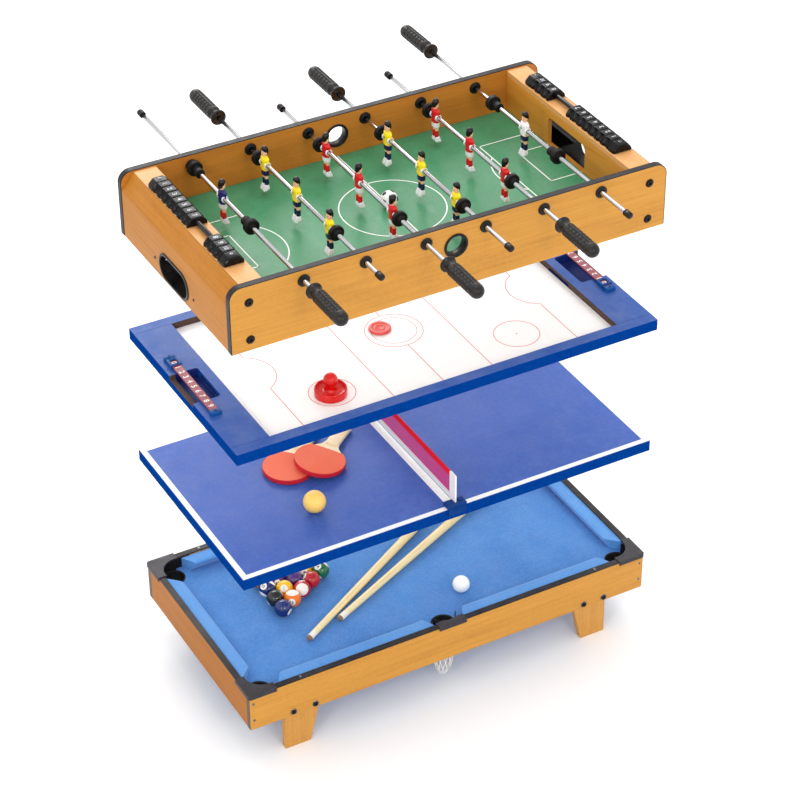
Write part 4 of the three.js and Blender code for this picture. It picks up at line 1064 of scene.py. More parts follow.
def bead_row(name, node, first_digit, count, start_y, side):
    """Beads from start_y towards +Y; the left counter counts from the back."""
    body = f"{node}_body"
    for i in range(count):
        form = Form()
        y = start_y + i * BEAD_LENGTH
        form.add(bead_shape(), 0, at(side * COUNTER_X, y, BEAD_BASE))
        order = count - 1 - i if side < 0 else i
        number = first_digit + order
        turn = half_turn(side > 0)
        face = at(side * COUNTER_X, y + BEAD_LENGTH / 2, BEAD_BASE + BEAD_HEIGHT + 0.06)
        form.add(lettering(str(number), 12 if number < 10 else 10), 1, face @ turn @ TO_LEFT)
        make(f"{name}_bead_{number}", form, FOOSBALL, body, [BLACK_BEADS, DIGIT_INK], "black_beads",
             [node], sharp=32)


def counter_rod(name, node, side):
    bar = Form()
    end = COUNTER_HALF + 2
    bar.add(turned([(4.0, -end), (4.4, 1 - end), (4.4, end - 1), (4.0, end)], 24, "Y"),
            place=at(side * COUNTER_X, 0, 124))
    foosball_piece(f"{name}_bar", bar, [GLOSS_BLACK], "black_moulding", [node], sharp=40)
    for end in (-1, 1):
        form = Form()
        rings = []
        for y, inset in ((0.3, 1.2), (1.4, 0), (14, 0), (18.6, 0.8), (20.3, 2.6)):
            rings.append([(u, end * (COUNTER_HALF + y), v) for u, v in bead_section(0, inset)])
        form.add(skin(rings), 0, at(side * COUNTER_X, 0, 117.3))
        screw = bolt_head(3, 1.0, UPWARD)
        form.add(screw, 1, at(side * COUNTER_X, end * (COUNTER_HALF + 10), 132.3))
        foosball_piece(f"{name}_bracket_{END_OF_Y[end]}", form, [BLACK_BEADS, STEEL], "black_moulding",
                       [node], sharp=32)


def score_counters():
    for side, name in END_OF_X.items():
        counter_rod(f"counter_{name}", f"counter_rod_{name}", side)
    many = COUNTER_HALF - 7 * BEAD_LENGTH - 0.3
    few = -COUNTER_HALF + 0.3
    bead_row("counter_left", "beads_left_back", 1, 7, many, -1)
    bead_row("counter_left", "beads_left_front", 8, 3, few, -1)
    bead_row("counter_right", "beads_right_front", 1, 7, -many - 7 * BEAD_LENGTH, 1)
    bead_row("counter_right", "beads_right_back", 8, 3, -few - 3 * BEAD_LENGTH, 1)


def ball_points(radius):
    """A round skin over an icosahedron, for balls without poles."""
    work = bmesh.new()
    bmesh.ops.create_icosphere(work, subdivisions=5, radius=radius)
    return shape_of(work)


def football_form(radius):
    """Twelve dark five-sided and twenty pale six-sided panels, with a groove along each seam."""
    golden = (1 + math.sqrt(5)) / 2
    corners = []
    for a in (-1, 1):
        for b in (-golden, golden):
            corners += [Vector((0, a, b)).normalized(), Vector((a, b, 0)).normalized(),
                        Vector((b, 0, a)).normalized()]
    near = {}
    for i, corner in enumerate(corners):
        order = sorted(range(12), key=lambda k: (corners[k] - corner).length)
        near[i] = order[1:6]
    panels = []
    for i, corner in enumerate(corners):
        panels.append((1, [corner.lerp(corners[k], 1 / 3) for k in near[i]]))
    for i in range(12):
        for j in near[i]:
            for k in near[i]:
                if i < j < k and k in near[j]:
                    a, b, c = corners[i], corners[j], corners[k]
                    ring = []
                    for p, q in ((a, b), (b, a), (b, c), (c, b), (c, a), (a, c)):
                        ring.append(p.lerp(q, 1 / 3))
                    panels.append((0, ring))
    form = Form()
    steps = 5
    for finish, ring in panels:
        middle = sum(ring, Vector()) / len(ring)
        first = (ring[0] - middle).normalized()
        second = middle.normalized().cross(first)
        ring.sort(key=lambda p: math.atan2((p - middle).dot(second), (p - middle).dot(first)))
        points = [middle.normalized() * radius]
        faces = []
        count = len(ring) * steps
        for layer in range(1, steps + 2):
            share = min(layer, steps) / steps
            for i in range(count):
                side, part = divmod(i, steps)
                rim = ring[side].lerp(ring[(side + 1) % len(ring)], part / steps)
                depth = 0.0 if layer < steps else (0.12 if layer == steps else 0.5)
                inward = 0.985 if layer == steps else 1.0
                points.append(middle.lerp(rim, share * inward).normalized() * (radius - depth))
        for i in range(count):
            faces.append((0, 1 + i, 1 + (i + 1) % count))
        for layer in range(steps):
            a = 1 + layer * count
            for i in range(count):
                j = (i + 1) % count
                faces.append((a + i, a + count + i, a + count + j, a + j))
        form.add((points, faces), finish)
    return form


def outward(mesh):
    """Turns every face away from the middle: for balls made of separate panels."""
    work = bmesh.new()
    work.from_mesh(mesh)
    for face in work.faces:
        if face.normal.dot(face.calc_center_median()) < 0:
            face.normal_flip()
    work.to_mesh(mesh)
    work.free()


def football():
    mesh = mesh_of("football_skin", football_form(15), [FOOTBALL_WHITE, FOOTBALL_BLACK], sharp=60)
    outward(mesh)
    turn = Matrix.Rotation(0.5, 4, "X") @ Matrix.Rotation(0.85, 4, "Y") @ Matrix.Rotation(0.4, 4, "Z")
    place_mesh("football_skin", mesh, "football_body", ["football"],
               at(*middle_of("football")) @ turn)


# Rods and men

FACES = 16


def oval(x, y, half_x, half_y, z, tilt=0.0, square=1.0):
    ring = []
    for i in range(FACES):
        angle = 2 * math.pi * (i + 0.5) / FACES
        c, s = math.cos(angle), math.sin(angle)
        c = math.copysign(abs(c) ** square, c)
        s = math.copysign(abs(s) ** square, s)
        ring.append((x + half_x * c, y + half_y * s, z + tilt * c))
    return ring


def limb(rows):
    """A skin over ovals, each given as the arguments of oval."""
    return skin([oval(*row) for row in rows])


SHIRT, SHORTS, SOCKS, FLESH, DARK, PALE, LIP = range(7)


def man_form():
    """A player who looks to +X, with the bar through the hips along Y."""
    form = Form()
    torso = [(0, 0, 5.4, 7.4, -11.4, 0, 0.8), (0, 0, 6.5, 8.8, -11.0, 0, 0.8), (0, 0, 6.7, 9.0, -9, 0, 0.8),
             (0, 0, 6.2, 8.5, -4, 0, 0.8), (0.1, 0, 6.3, 8.6, 1, 0, 0.85), (0.2, 0, 6.7, 9.4, 6, 0, 0.85),
             (0, 0, 6.4, 9.8, 10, 0, 0.9), (-0.2, 0, 5.0, 7.8, 12.6), (-0.2, 0, 3.7, 4.4, 14.0),
             (-0.2, 0, 3.3, 3.6, 14.3)]
    form.add(limb(torso), SHIRT)
    for s in (-1, 1):
        sleeve = [(-0.3, s * 8.4, 2.4, 2.0, 12.6), (-0.2, s * 9.2, 3.2, 2.5, 10.6), (0, s * 9.3, 3.3, 2.3, 6),
                  (0.3, s * 9.2, 3.2, 2.3, 1.6), (0.4, s * 9.2, 2.7, 1.9, 1.0)]
        form.add(limb(sleeve), SHIRT)
        arm = [(0.4, s * 9.2, 2.2, 1.8, 2.2), (0.6, s * 9.2, 2.3, 1.9, -0.6), (1.5, s * 9.0, 2.2, 1.8, -4),
               (2.6, s * 8.6, 2.1, 1.8, -7), (3.0, s * 8.4, 2.2, 1.9, -9), (3.0, s * 8.3, 1.4, 1.3, -10.6)]
        form.add(limb(arm), FLESH)
        cuff = [(4.3, 7.6), (5.9, 7.6), (6.1, 8.2), (6.1, 11.0), (5.6, 11.5), (4.3, 11.5)]
        form.add(mirrored(turned(cuff, 24, "Y", loop=True), s), PALE)
        leg_y = s * 3.75
        knee = [(0.2, leg_y, 3.5, 3.3, -19, 0, 0.9), (0.4, leg_y, 3.7, 3.4, -23, 0, 0.9),
                (0.2, leg_y, 3.2, 3.2, -27, 0, 0.9), (0, leg_y, 2.8, 3.0, -30, 0, 0.9)]
        form.add(limb(knee), FLESH)
        sock = [(0.1, leg_y, 3.3, 3.2, -26.6, 0, 0.9), (0.1, leg_y, 3.8, 3.6, -27.2, 0, 0.9),
                (0, leg_y, 3.7, 3.6, -29, 0, 0.9), (-0.4, leg_y, 4.0, 3.7, -33, 0, 0.85),
                (0, leg_y, 3.7, 3.6, -38, 0, 0.85), (0.2, leg_y, 3.4, 3.4, -42, 0, 0.8)]
        form.add(limb(sock), SOCKS)
        boot = [(0.6, s * 4.0, 3.2, 3.4, -38.2, 0, 0.6), (0.8, s * 4.1, 3.9, 3.7, -39.2, 0, 0.5),
                (1.6, s * 4.15, 5.4, 4.2, -44, -1.0, 0.4), (2.0, s * 4.2, 6.0, 4.4, -47.0, -1.8, 0.35),
                (2.0, s * 4.2, 6.0, 4.4, -47.5, -1.8, 0.35), (1.5, s * 4.0, 4.6, 3.6, -49.5, -1.2, 0.4),
                (1.5, s * 4.0, 3.9, 3.1, -49.8, -1.2, 0.4)]
        form.add(limb(boot), PALE)
        ear = [(-0.4, s * 5.3, 0.4, 0.5, 19.4), (-0.4, s * 5.6, 1.1, 0.8, 20.4),
               (-0.3, s * 5.6, 1.4, 0.9, 22), (-0.3, s * 5.4, 0.8, 0.6, 23.2)]
        form.add(limb(ear), FLESH)
        eye = turned([(0, 5.35), (0.75, 5.35), (0.7, 5.75), (0, 5.95)], 10, "X")
        form.add(eye, DARK, at(0.05, s * 1.9, 23.0) @ Matrix.Rotation(s * 0.3, 4, "Z") @ at(-0.1, 0, 0))
    hips = [(0, 0, 5.2, 7.4, -9.6, 0, 0.8), (0, 0, 6.1, 8.4, -10.4, 0, 0.8), (0, 0, 6.2, 8.6, -15, 0, 0.8),
            (0, 0, 6.0, 8.6, -19, 0, 0.75), (0, 0, 5.7, 8.2, -20.6, 0, 0.75),
            (0, 0, 4.6, 7.2, -21.0, 0, 0.75)]
    form.add(limb(hips), SHORTS)
    neck = [(-0.2, 0, 2.9, 3.0, 12.6), (-0.1, 0, 2.7, 2.8, 15), (0, 0, 2.8, 2.9, 17.5)]
    form.add(limb(neck), FLESH)
    head = [(0.9, 0, 2.2, 2.2, 14.6), (0.9, 0, 3.9, 3.5, 15.8), (0.6, 0, 4.8, 4.6, 18),
            (0.4, 0, 5.2, 5.1, 21), (0.2, 0, 5.4, 5.2, 24), (0, 0, 5.3, 5.1, 27),
            (-0.2, 0, 4.4, 4.2, 30), (-0.2, 0, 2.2, 2.2, 32)]
    form.add(limb(head), FLESH)
    nose = [(5.2, 0, 0.5, 0.5, 23.0), (5.6, 0, 0.7, 0.7, 21.6), (5.9, 0, 0.9, 0.9, 20.4),
            (5.5, 0, 0.6, 0.7, 19.7)]
    form.add(limb(nose), FLESH)
    mouth = [(5.15, 0, 0.35, 1.3, 17.5), (5.25, 0, 0.4, 1.6, 17.9), (5.2, 0, 0.3, 1.3, 18.3)]
    form.add(limb(mouth), LIP)
    hair = [(-0.5, 0, 5.0, 4.9, 21.6, 4.6), (-0.5, 0, 6.0, 5.8, 22.0, 4.6),
            (-0.5, 0, 6.5, 6.1, 24.2, 3.8), (-0.4, 0, 6.5, 6.1, 27.2, 2.4),
            (-0.3, 0, 5.8, 5.5, 30.2, 1.2), (-0.3, 0, 4.2, 4.0, 32.4, 0.5), (-0.3, 0, 1.8, 1.7, 33.4, 0.1)]
    form.add(limb(hair), DARK)
    screw = turned([(0, 6.0), (1.2, 6.0), (1.2, 6.95), (0.7, 7.05), (0.5, 6.6), (0, 6.6)], 12, "X")
    form.add(screw, DARK, at(0, 0, 4))
    return form


TEAMS = {
    "left_keeper": (TOY_BLUE, TOY_WHITE, TOY_RED),
    "yellow": (TOY_YELLOW, TOY_NAVY, TOY_NAVY),
    "red": (TOY_RED, TOY_WHITE, TOY_RED),
    "right_keeper": (TOY_WHITE, TOY_NAVY, TOY_NAVY),
}
MAN = man_form()
men_meshes = {}


def man_mesh(team):
    if team not in men_meshes:
        shirt, shorts, socks = TEAMS[team]
        finishes = [shirt, shorts, socks, SKIN, HAIR, TOY_WHITE, TOY_RED]
        men_meshes[team] = mesh_of(f"man_{team}", MAN, finishes, sharp=180)
    return men_meshes[team]


def grip_form():
    """A moulded grip along +Y: flange, bare waist, cut panels between paired flutes, round end."""
    sides, repeats, rows = 96, 4, 7
    start, end, radius = 21.0, 88.0, 12.5
    rib, flute = 4.6, 3.0
    stations = [(4.3, 0.0), (12.8, 0.0), (13.8, 0.6), (14.2, 1.6), (14.2, 2.8), (13.4, 3.8), (11.2, 4.6),
                (9.4, 6.0), (8.8, 8.0), (8.8, 13.6), (9.2, 15.2), (10.6, 16.8), (12.0, 18.6),
                (12.4, 20.2)]

    def panel_ring(y):
        row = (y - start) / (end - start) * rows
        across = abs(row - round(row)) * (end - start) / rows
        inside = 0.4 < row < rows - 0.4
        fade = min(1.0, (y - start) / 2.5, (end - y) / 2.5)
        ring = []
        for k in range(sides):
            a = 2 * math.pi * k / sides
            part = (a / (2 * math.pi) * repeats) % 1.0
            lap = part * 2 * math.pi * radius / repeats
            flutes = (rib / 2, 2 * math.pi * radius / repeats - rib / 2)
            groove = max(max(0.0, 1 - abs(lap - place) / (flute / 2)) for place in flutes)
            slot = groove ** 0.5
            on_panel = rib / 2 + flute / 2 < lap < 2 * math.pi * radius / repeats - rib / 2 - flute / 2
            cross = max(0.0, 1 - across / 1.9) ** 0.6 if inside and on_panel else 0.0
            hollow = max(2.2 * slot, 2.0 * cross) * max(0.0, fade)
            ring.append(((radius - hollow) * math.cos(a), y, (radius - hollow) * math.sin(a)))
        return ring

    rings = [ring_round_y(r, y, sides) for r, y in stations]
    count = 84
    rings += [panel_ring(start + (end - start) * i / count) for i in range(count + 1)]
    rings += [ring_round_y(radius, 89.2, sides)]
    for i in range(1, 11):
        angle = math.pi / 2 * i / 10
        reach = max(0.05, radius * math.cos(angle))
        rings.append(ring_round_y(reach, 90.5 + 13.4 * math.sin(angle), sides))
    points, faces = skin(rings, ends=False)
    faces.append(tuple(range(len(points) - sides, len(points))))
    first = len(points)
    points = points + ring_round_y(4.3, 12.0, sides)
    for k in range(sides):
        faces.append((k, (k + 1) % sides, first + (k + 1) % sides, first + k))
    faces.append(tuple(range(first, first + sides)))
    form = Form()
    form.add((points, faces))
    return form


def stop_form(goalie):
    """A rubber ring on the bar, with a hub towards the middle or the outside."""
    bore = 4.05
    if goalie:
        profile = [(bore, -14), (7.6, -14), (8.4, -13.2), (8.4, -5), (7.8, -3.6), (7.8, 3.6), (11.4, 3.8),
                   (12.9, 4.4), (13.5, 5.2), (13.5, 12.6), (13.0, 13.6), (12, 14), (9.8, 14),
                   (9.2, 12.8), (6.6, 12.8), (6, 14), (bore, 14)]
    else:
        profile = [(bore, -7), (5.6, -7), (6.4, -5.8), (9.2, -5.8), (9.8, -7), (12.4, -7), (13.1, -6.6),
                   (13.5, -5.8), (13.5, -0.2), (12.9, 0.6), (11.4, 1.2), (8.4, 1.4), (7.8, 1.8),
                   (7.8, 6), (7.2, 7), (bore, 7)]
    return Form().add(turned(profile, 40, "Y", loop=True))


def end_cap_form():
    """A cap over the end of the bar, closed end at +Y 0 and open end towards -Y."""
    profile = [(4.1, -15), (5.6, -15), (6, -14.4), (6, -11.6), (5.7, -11.2), (5.7, -10.6), (6, -10.2),
               (6, -2.4), (5.6, -1), (4.6, -0.2), (0, 0)]
    return Form().add(turned(profile, 28, "Y"))


GRIP_MESH = mesh_of("rod_grip_form", grip_form(), [BLACK_GRIP], sharp=50)
STOP_MESHES = {kind: mesh_of(f"rod_stop_form_{kind}", stop_form(kind), [BLACK_RUBBER],
                             sharp=28) for kind in (False, True)}
CAP_MESH = mesh_of("rod_end_cap_form", end_cap_form(), [BLACK], sharp=48)

# Each rod: its team, the side of its handle, which way its men look, whether it is the keeper's
RODS = [("left_keeper", -1, 1, True), ("yellow", 1, -1, False), ("red", -1, 1, False),
        ("yellow", 1, -1, False), ("red", -1, 1, False), ("right_keeper", 1, -1, True)]


def rod(index, team, handle, looks, keeper):
    name = f"rod_{index + 1}"
    body = f"{name}_men"
    cap_reach, flange_reach = (331, 325) if keeper else (294, 296)
    low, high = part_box(name)
    bar_far = (low.y - FOOSBALL.y) / MM if handle > 0 else (high.y - FOOSBALL.y) / MM
    shift = bar_far + handle * (cap_reach - 3.3)
    centre = at(ROD_X[index] * MM, FOOSBALL.y + shift * MM, FOOSBALL.z + ROD_HEIGHT * MM)
    turn = half_turn(handle < 0)

    near, far = flange_reach + 13.5, -cap_reach + 3.3
    ends = [(3.2, far), (3.8, far), (4, far + 0.3), (4, near - 0.3), (3.8, near), (0, near)]
    bar = Form().add(turned(ends, 32, "Y"))
    bar_mesh = mesh_of(f"{name}_bar", bar, [CHROME], sharp=40)
    place_mesh(f"{name}_bar", bar_mesh, body, [name], centre @ turn)
    reach = KEEPER_STOP_PLACE if keeper else STOP_PLACE
    for s in (-1, 1):
        spot = centre @ at(0, s * reach * MM, 0) @ half_turn(s < 0)
        place_mesh(f"{name}_stop_{END_OF_Y[s]}", STOP_MESHES[keeper], body, [name], spot)
    for row in ([0] if keeper else [-1, 0, 1]):
        spot = centre @ at(0, row * MEN_PITCH * MM, 0) @ half_turn(looks < 0)
        man = place_mesh(f"{name}_man_{END_OF_Y.get(row, 'middle')}", man_mesh(team), body, [name],
                         spot)
        fine = man.modifiers.new("Smooth surface", "SUBSURF")
        fine.levels = 1
        fine.render_levels = 1
    grip_place = centre @ turn @ at(0, flange_reach * MM, 0)
    place_mesh(f"{name}_grip_body", GRIP_MESH, body, [f"{name}_grip"], grip_place)
    cap_place = centre @ turn @ at(0, -cap_reach * MM, 0) @ TO_BACK
    place_mesh(f"{name}_cap", CAP_MESH, f"{name}_carrier", [f"{name}_end_cap"], cap_place)


def foosball_top():
    for side, name in END_OF_Y.items():
        long_panel(f"foosball_{name}", side)
    for side, name in END_OF_X.items():
        end_panel(f"foosball_{name}", side)
    for side, name in END_OF_X.items():
        goal_box(f"goal_{name}", f"goal_box_{name}", side)
    field()
    for side, name in END_OF_X.items():
        ball_tray(f"ball_exit_{name}", f"ball_tray_{name}", side)
    score_counters()
    football()
    for index, (team, handle, looks, keeper) in enumerate(RODS):
        rod(index, team, handle, looks, keeper)


# Air-hockey top

RINK_X = 335
RINK_Y = 190
STRIP_X = 384
POCKET_X = (353, 395)
POCKET_HALF = 47
NOTCH_HALF = 46.9
NOTCH_FLOOR = 13
SLOT_HALF = 33
SLOT_HEIGHTS = (8, 15)


def hockey_board():
    slab = Form().add(case_block(21))
    cutters = [Form().add(block(-RINK_X, RINK_X, -RINK_Y, RINK_Y, -2, 23))]
    for s in (-1, 1):
        pocket = rounded(*across(s, *POCKET_X), -POCKET_HALF, POCKET_HALF, 6)
        notch = block(*across(s, 393.5, 408), -NOTCH_HALF, NOTCH_HALF, NOTCH_FLOOR, 24.5)
        slot = block(*across(s, 333, 357), -SLOT_HALF, SLOT_HALF, *SLOT_HEIGHTS)
        cutters += [Form().add(plate(pocket, 4, 24)), Form().add(notch), Form().add(slot)]
    for s in (-1, 1):
        for h in (-1, 1):
            seam = block(*across(s, 334, 408), h * RINK_Y - 0.3, h * RINK_Y + 0.3, 20.5, 22)
            cutters.append(Form().add(seam))
    mesh = carve("hockey_rails", slab, cutters,
                 [HOCKEY_BLUE, BOARD_SIDE_SHADE, RAW_BOARD, POCKET_SHADE_BLUE, BACKING], HOCKEY)
    edge = 0.2
    for face in mesh.polygons:
        middle = (face.center - HOCKEY) / MM
        x, y, z = abs(middle.x), abs(middle.y), middle.z
        # Outside faces take the darker side blue, a painted shade
        outside = x > HALF_LENGTH - 0.1 or y > HALF_WIDTH - 0.1
        at_rink = abs(x - RINK_X) < edge or abs(y - RINK_Y) < edge
        inside = at_rink and abs(face.normal.z) < 0.5
        notch = abs(z - NOTCH_FLOOR) < edge or (x > POCKET_X[1] and abs(y - NOTCH_HALF) < edge)
        # Painted shade: slot faces and pocket faces below the rim take the darker pocket blue
        within_slot = RINK_X + edge < x < POCKET_X[0] - edge and y < SLOT_HALF + edge
        slot = within_slot and SLOT_HEIGHTS[0] <= z <= SLOT_HEIGHTS[1] + 0.01
        within_pocket = POCKET_X[0] + edge < x < POCKET_X[1] - edge and y < POCKET_HALF + edge
        dark = within_pocket and z < 20.9 and not notch
        face.material_index = 1 if outside else (3 if dark or slot else (2 if inside or notch else 0))
        if z < 0.1:
            face.material_index = 4
    rails = place_mesh("hockey_rails", mesh, "hockey_top", ["hockey_board"])
    soften(rails, 0.6, 2)
    pan = Form().add(block(-RINK_X - 0.2, RINK_X + 0.2, -RINK_Y - 0.2, RINK_Y + 0.2, 4, 8))
    pan.finishes[0] = 1
    hockey_piece("hockey_field", pan, [HOCKEY_WHITE, BACKING], "table_blue", ["hockey_board"])
    wide = 1.3
    lines = []
    for x in (-95, 95):
        lines.append(straight(x - wide / 2, x + wide / 2, -RINK_Y, RINK_Y))
    for s in (-1, 1):
        edge = across(s, 51, RINK_Y)
        lines.append(straight(-wide / 2, wide / 2, *edge))
        for y in (-113, 113):
            lines.append(arc_band(s * 180, y, 40, wide, 0, 360, 64))
            lines.append(circle(s * 180, y, 1.6, 16))
        for y in (52, -RINK_Y):
            lines.append(straight(s * 265 - wide / 2, s * 265 + wide / 2, y, y + 138))
        middle = 180 if s > 0 else 0
        lines.append(arc_band(s * 293, 0, 59, wide, middle - 61.5, middle + 61.5, 32))
    lines += [arc_band(0, 0, 51, wide, 0, 360, 80), arc_band(0, 0, 40, 1.0, 0, 360, 80)]
    marks = Form()
    line_plates(marks, lines, 7.95, 8.1)
    hockey_piece("hockey_lines", marks, [RED_INK], "table_blue", ["hockey_board"])


def score_strip(name, node, side):
    turn = half_turn(side > 0)
    strip = Form().add(block(-391.5, -376.5, -86, 86, 24.3, 26.3), 0, turn)
    for i in range(10):
        face = turn @ at(-STRIP_X, 72 - 16 * i, 26.34)
        strip.add(lettering(str(i), 13.5), 1, face @ TO_LEFT)
    hockey_piece(f"{name}_plate", strip, [STRIP_MAROON, WHITE_INK], "score_strip", [node], sharp=30)
    caps = Form()
    for s in (-1, 1):
        rings = []
        for y, inset, drop in ((84.4, 0.8, 0.6), (85.2, 0, 0), (93, 0, 0), (95.4, 0.8, 0.9),
                               (96.2, 2.2, 2.4)):
            half = 10.1 - inset
            top = 28 - drop
            section = [(-half, 21.35), (half, 21.35), (half, top - 1.4), (half - 1.4, top), (1.4 - half, top),
                       (-half, top - 1.4)]
            rings.append([(u - STRIP_X, s * y, z) for u, z in section])
        caps.add(skin(rings), 0, turn)
        caps.add(turned([(2.2, 0), (2.2, 0.5), (1.5, 0.7), (1.3, 0.2), (0, 0.2)], 20), 1,
                 turn @ at(-STRIP_X, s * 91, 27.8))
    hockey_piece(f"{name}_caps", caps, [SLIDER_BLUE, BLACK], "score_strip", [node], bevel=0.4)


def score_slider(name, side):
    """A frame that slides along the strip and shows one number in its window."""
    turn = half_turn(side > 0)
    body = Form().add(block(-394.1, -373.9, 62, 82, 21.3, 29), 0, turn)
    tunnel = Form().add(block(-391.8, -376.2, 50, 94, 24.0, 26.6), 0, turn)
    opening = Form().add(plate(rounded(-390, -378, 66, 78, 1.2, 3), 25, 32), 0, turn)
    side_slots = []
    for y in (63.6, 79.0):
        side_slots.append(Form().add(block(-390, -378, y, y + 1.2, 28.2, 32), 0, turn))
    mesh = carve(f"{name}_frame", body, [tunnel, opening] + side_slots, [SLIDER_BLUE], HOCKEY)
    piece = place_mesh(f"{name}_frame", mesh, f"{name}_body", [name])
    soften(piece, 0.5, 2)


def puck_and_pusher():
    puck = Form().add(turned([(0, 0), (17.6, 0), (19, 0.3), (19.8, 1.1), (20, 2.5), (19.8, 3.9),
                              (19, 4.7), (18, 5), (14.6, 5), (14, 4.8), (13.6, 4.3), (8.6, 4.2),
                              (8.2, 4.5), (7.6, 4.5), (7.2, 4.2), (0, 4.1)], 64))
    make("puck_disc", puck, foot_of("puck"), "puck_body", [PUCK_RED], "red_plastic", ["puck"], sharp=60)
    knob = [(12.2 * math.sin(a), 30.2 - 12.2 * math.cos(a)) for a in (math.pi * i / 24 for i in range(4, 25))]
    profile = [(0, 1.2), (21, 1.2), (23, 0), (26.8, 0), (27.7, 0.8), (28, 2.6), (28, 11.6), (27.7, 13.6),
               (26.9, 14.6), (26, 14.9), (25.2, 14.4), (24.9, 13), (24.4, 8.8), (22.6, 7.4), (14, 7.2),
               (10.4, 8.0), (8.0, 10.4), (6.6, 14.4), (6.2, 17.6)] + knob
    pusher = Form().add(turned(profile, 72))
    make("pusher_body_round", pusher, foot_of("pusher"), "pusher_body", [HOCKEY_RED], "red_plastic",
         ["pusher"], sharp=60)


def hockey_top():
    hockey_board()
    for side, name in END_OF_X.items():
        score_strip(f"score_{name}", f"score_strip_{name}", side)
    for side, name in END_OF_X.items():
        score_slider(f"score_slider_{name}", side)
    puck_and_pusher()


# Ping-pong top

PING_PONG_TOP = 22
NET_X = 6
NET_HALF = 189.0


def ping_pong_board():
    board = Form().add(case_block(PING_PONG_TOP))
    # The sides take the darker side blue, a painted shade
    board.finishes = [2, 0, 1, 1, 1, 1]
    ping_pong_piece("ping_pong_board_slab", board, [BOARD_BLUE, BOARD_SIDE_SHADE, BACKING], "table_blue",
                    ["ping_pong_board"], bevel=1.0)
    edge_x, edge_y, wide = HALF_LENGTH - 1.2, HALF_WIDTH - 1.2, 10
    lines = [straight(-edge_x, edge_x, -edge_y, -edge_y + wide),
             straight(-edge_x, edge_x, edge_y - wide, edge_y),
             straight(-edge_x, -edge_x + wide, -edge_y + wide, edge_y - wide),
             straight(edge_x - wide, edge_x, -edge_y + wide, edge_y - wide),
             straight(-7, 8, -edge_y + wide, edge_y - wide)]
    marks = Form()
    line_plates(marks, lines, 21.95, 22.1)
    ping_pong_piece("ping_pong_lines", marks, [WHITE_INK], "table_blue", ["ping_pong_board"])


def ping_pong_net():
    """Red threads between a red band above and a white band below, stretched between two posts."""
    threads = Form()
    low, high = 37.0, 74.0
    pitch, thick = 3.1, 0.3
    columns = int(NET_HALF * 2 / pitch)
    for i in range(columns + 1):
        y = -NET_HALF + i * NET_HALF * 2 / columns
        threads.add(block(NET_X - 0.2, NET_X + 0.2, y - thick, y + thick, low, high))
    rows = int((high - low) / pitch)
    for i in range(rows + 1):
        z = low + (high - low) * i / rows
        threads.add(block(NET_X - 0.32, NET_X + 0.32, -NET_HALF, NET_HALF, z - thick, z + thick))
    mesh = ping_pong_piece("net_threads", threads, [NET_MESH], "net", ["net"])
    for name, z0, z1, finish in (("net_top_band", 73.5, 86, NET_RED),
                                 ("net_bottom_band", 27.8, 38, NET_WHITE)):
        rings = []
        steps = 40
        for i in range(steps + 1):
            y = -NET_HALF + NET_HALF * 2 * i / steps
            sway = 0.12 * math.sin(i * 1.9) + 0.1 * math.sin(i * 0.7)
            low_x, middle_x = NET_X + sway * 0.3, NET_X + sway
            rings.append([(low_x - 0.6, y, z0), (low_x + 0.6, y, z0), (middle_x + 0.75, y, (z0 + z1) / 2),
                          (NET_X + 0.6, y, z1), (NET_X - 0.6, y, z1), (middle_x - 0.75, y, (z0 + z1) / 2)])
        band = ping_pong_piece(name, Form().add(skin(rings)), [finish], "net", ["net"], sharp=60)
    posts = Form()
    clips = Form()
    for s in (-1, 1):
        y0, y1 = across(s, 187.8, 208)
        posts.add(plate(rounded(y0, y1, 26, 86, 2.5, 4), NET_X - 1.5, NET_X + 1.5, axis="X"))
        y0, y1 = across(s, 196.3, 215.3)
        clips.add(block(NET_X - 18, NET_X + 18, y0, y1, 22.3, 30))
        y0, y1 = across(s, 212.3, 215.3)
        clips.add(block(NET_X - 17.8, NET_X + 17.8, y0, y1 - 0.05, 10, 24))
        knob = turned([(0, 0), (4.6, 0), (5, 0.5), (5, 2.4), (4.2, 3.2), (0, 3.4)], 24)
        clips.add(knob, 0, at(NET_X + 10, s * 204, 29.6))
    ping_pong_piece("net_posts", posts, [POST_WHITE], "net", ["net"], bevel=0.5)
    ping_pong_piece("net_clips", clips, [CLIP_BLUE], "net", ["net"], bevel=0.6)


def blade_outline(radius):
    """A round blade that narrows to the grip along +U."""
    lower = [(radius * 0.80, -radius * 0.60), (40, -23.5), (45, -18.6), (50, -15.4), (56, -13.6), (60, -13)]
    return arc(0, 0, radius, 42, 318, 52) + lower + [(u, -v) for u, v in reversed(lower)]


def rubber_outline(radius):
    points = arc(0, 0, radius, 42, 318, 52)
    edge = radius * math.cos(math.radians(42))
    half = radius * math.sin(math.radians(42))
    return points + [(edge + 1.6 * (1 - (i / 6 - 1) ** 2), -half + half * i / 6) for i in range(1, 12)]


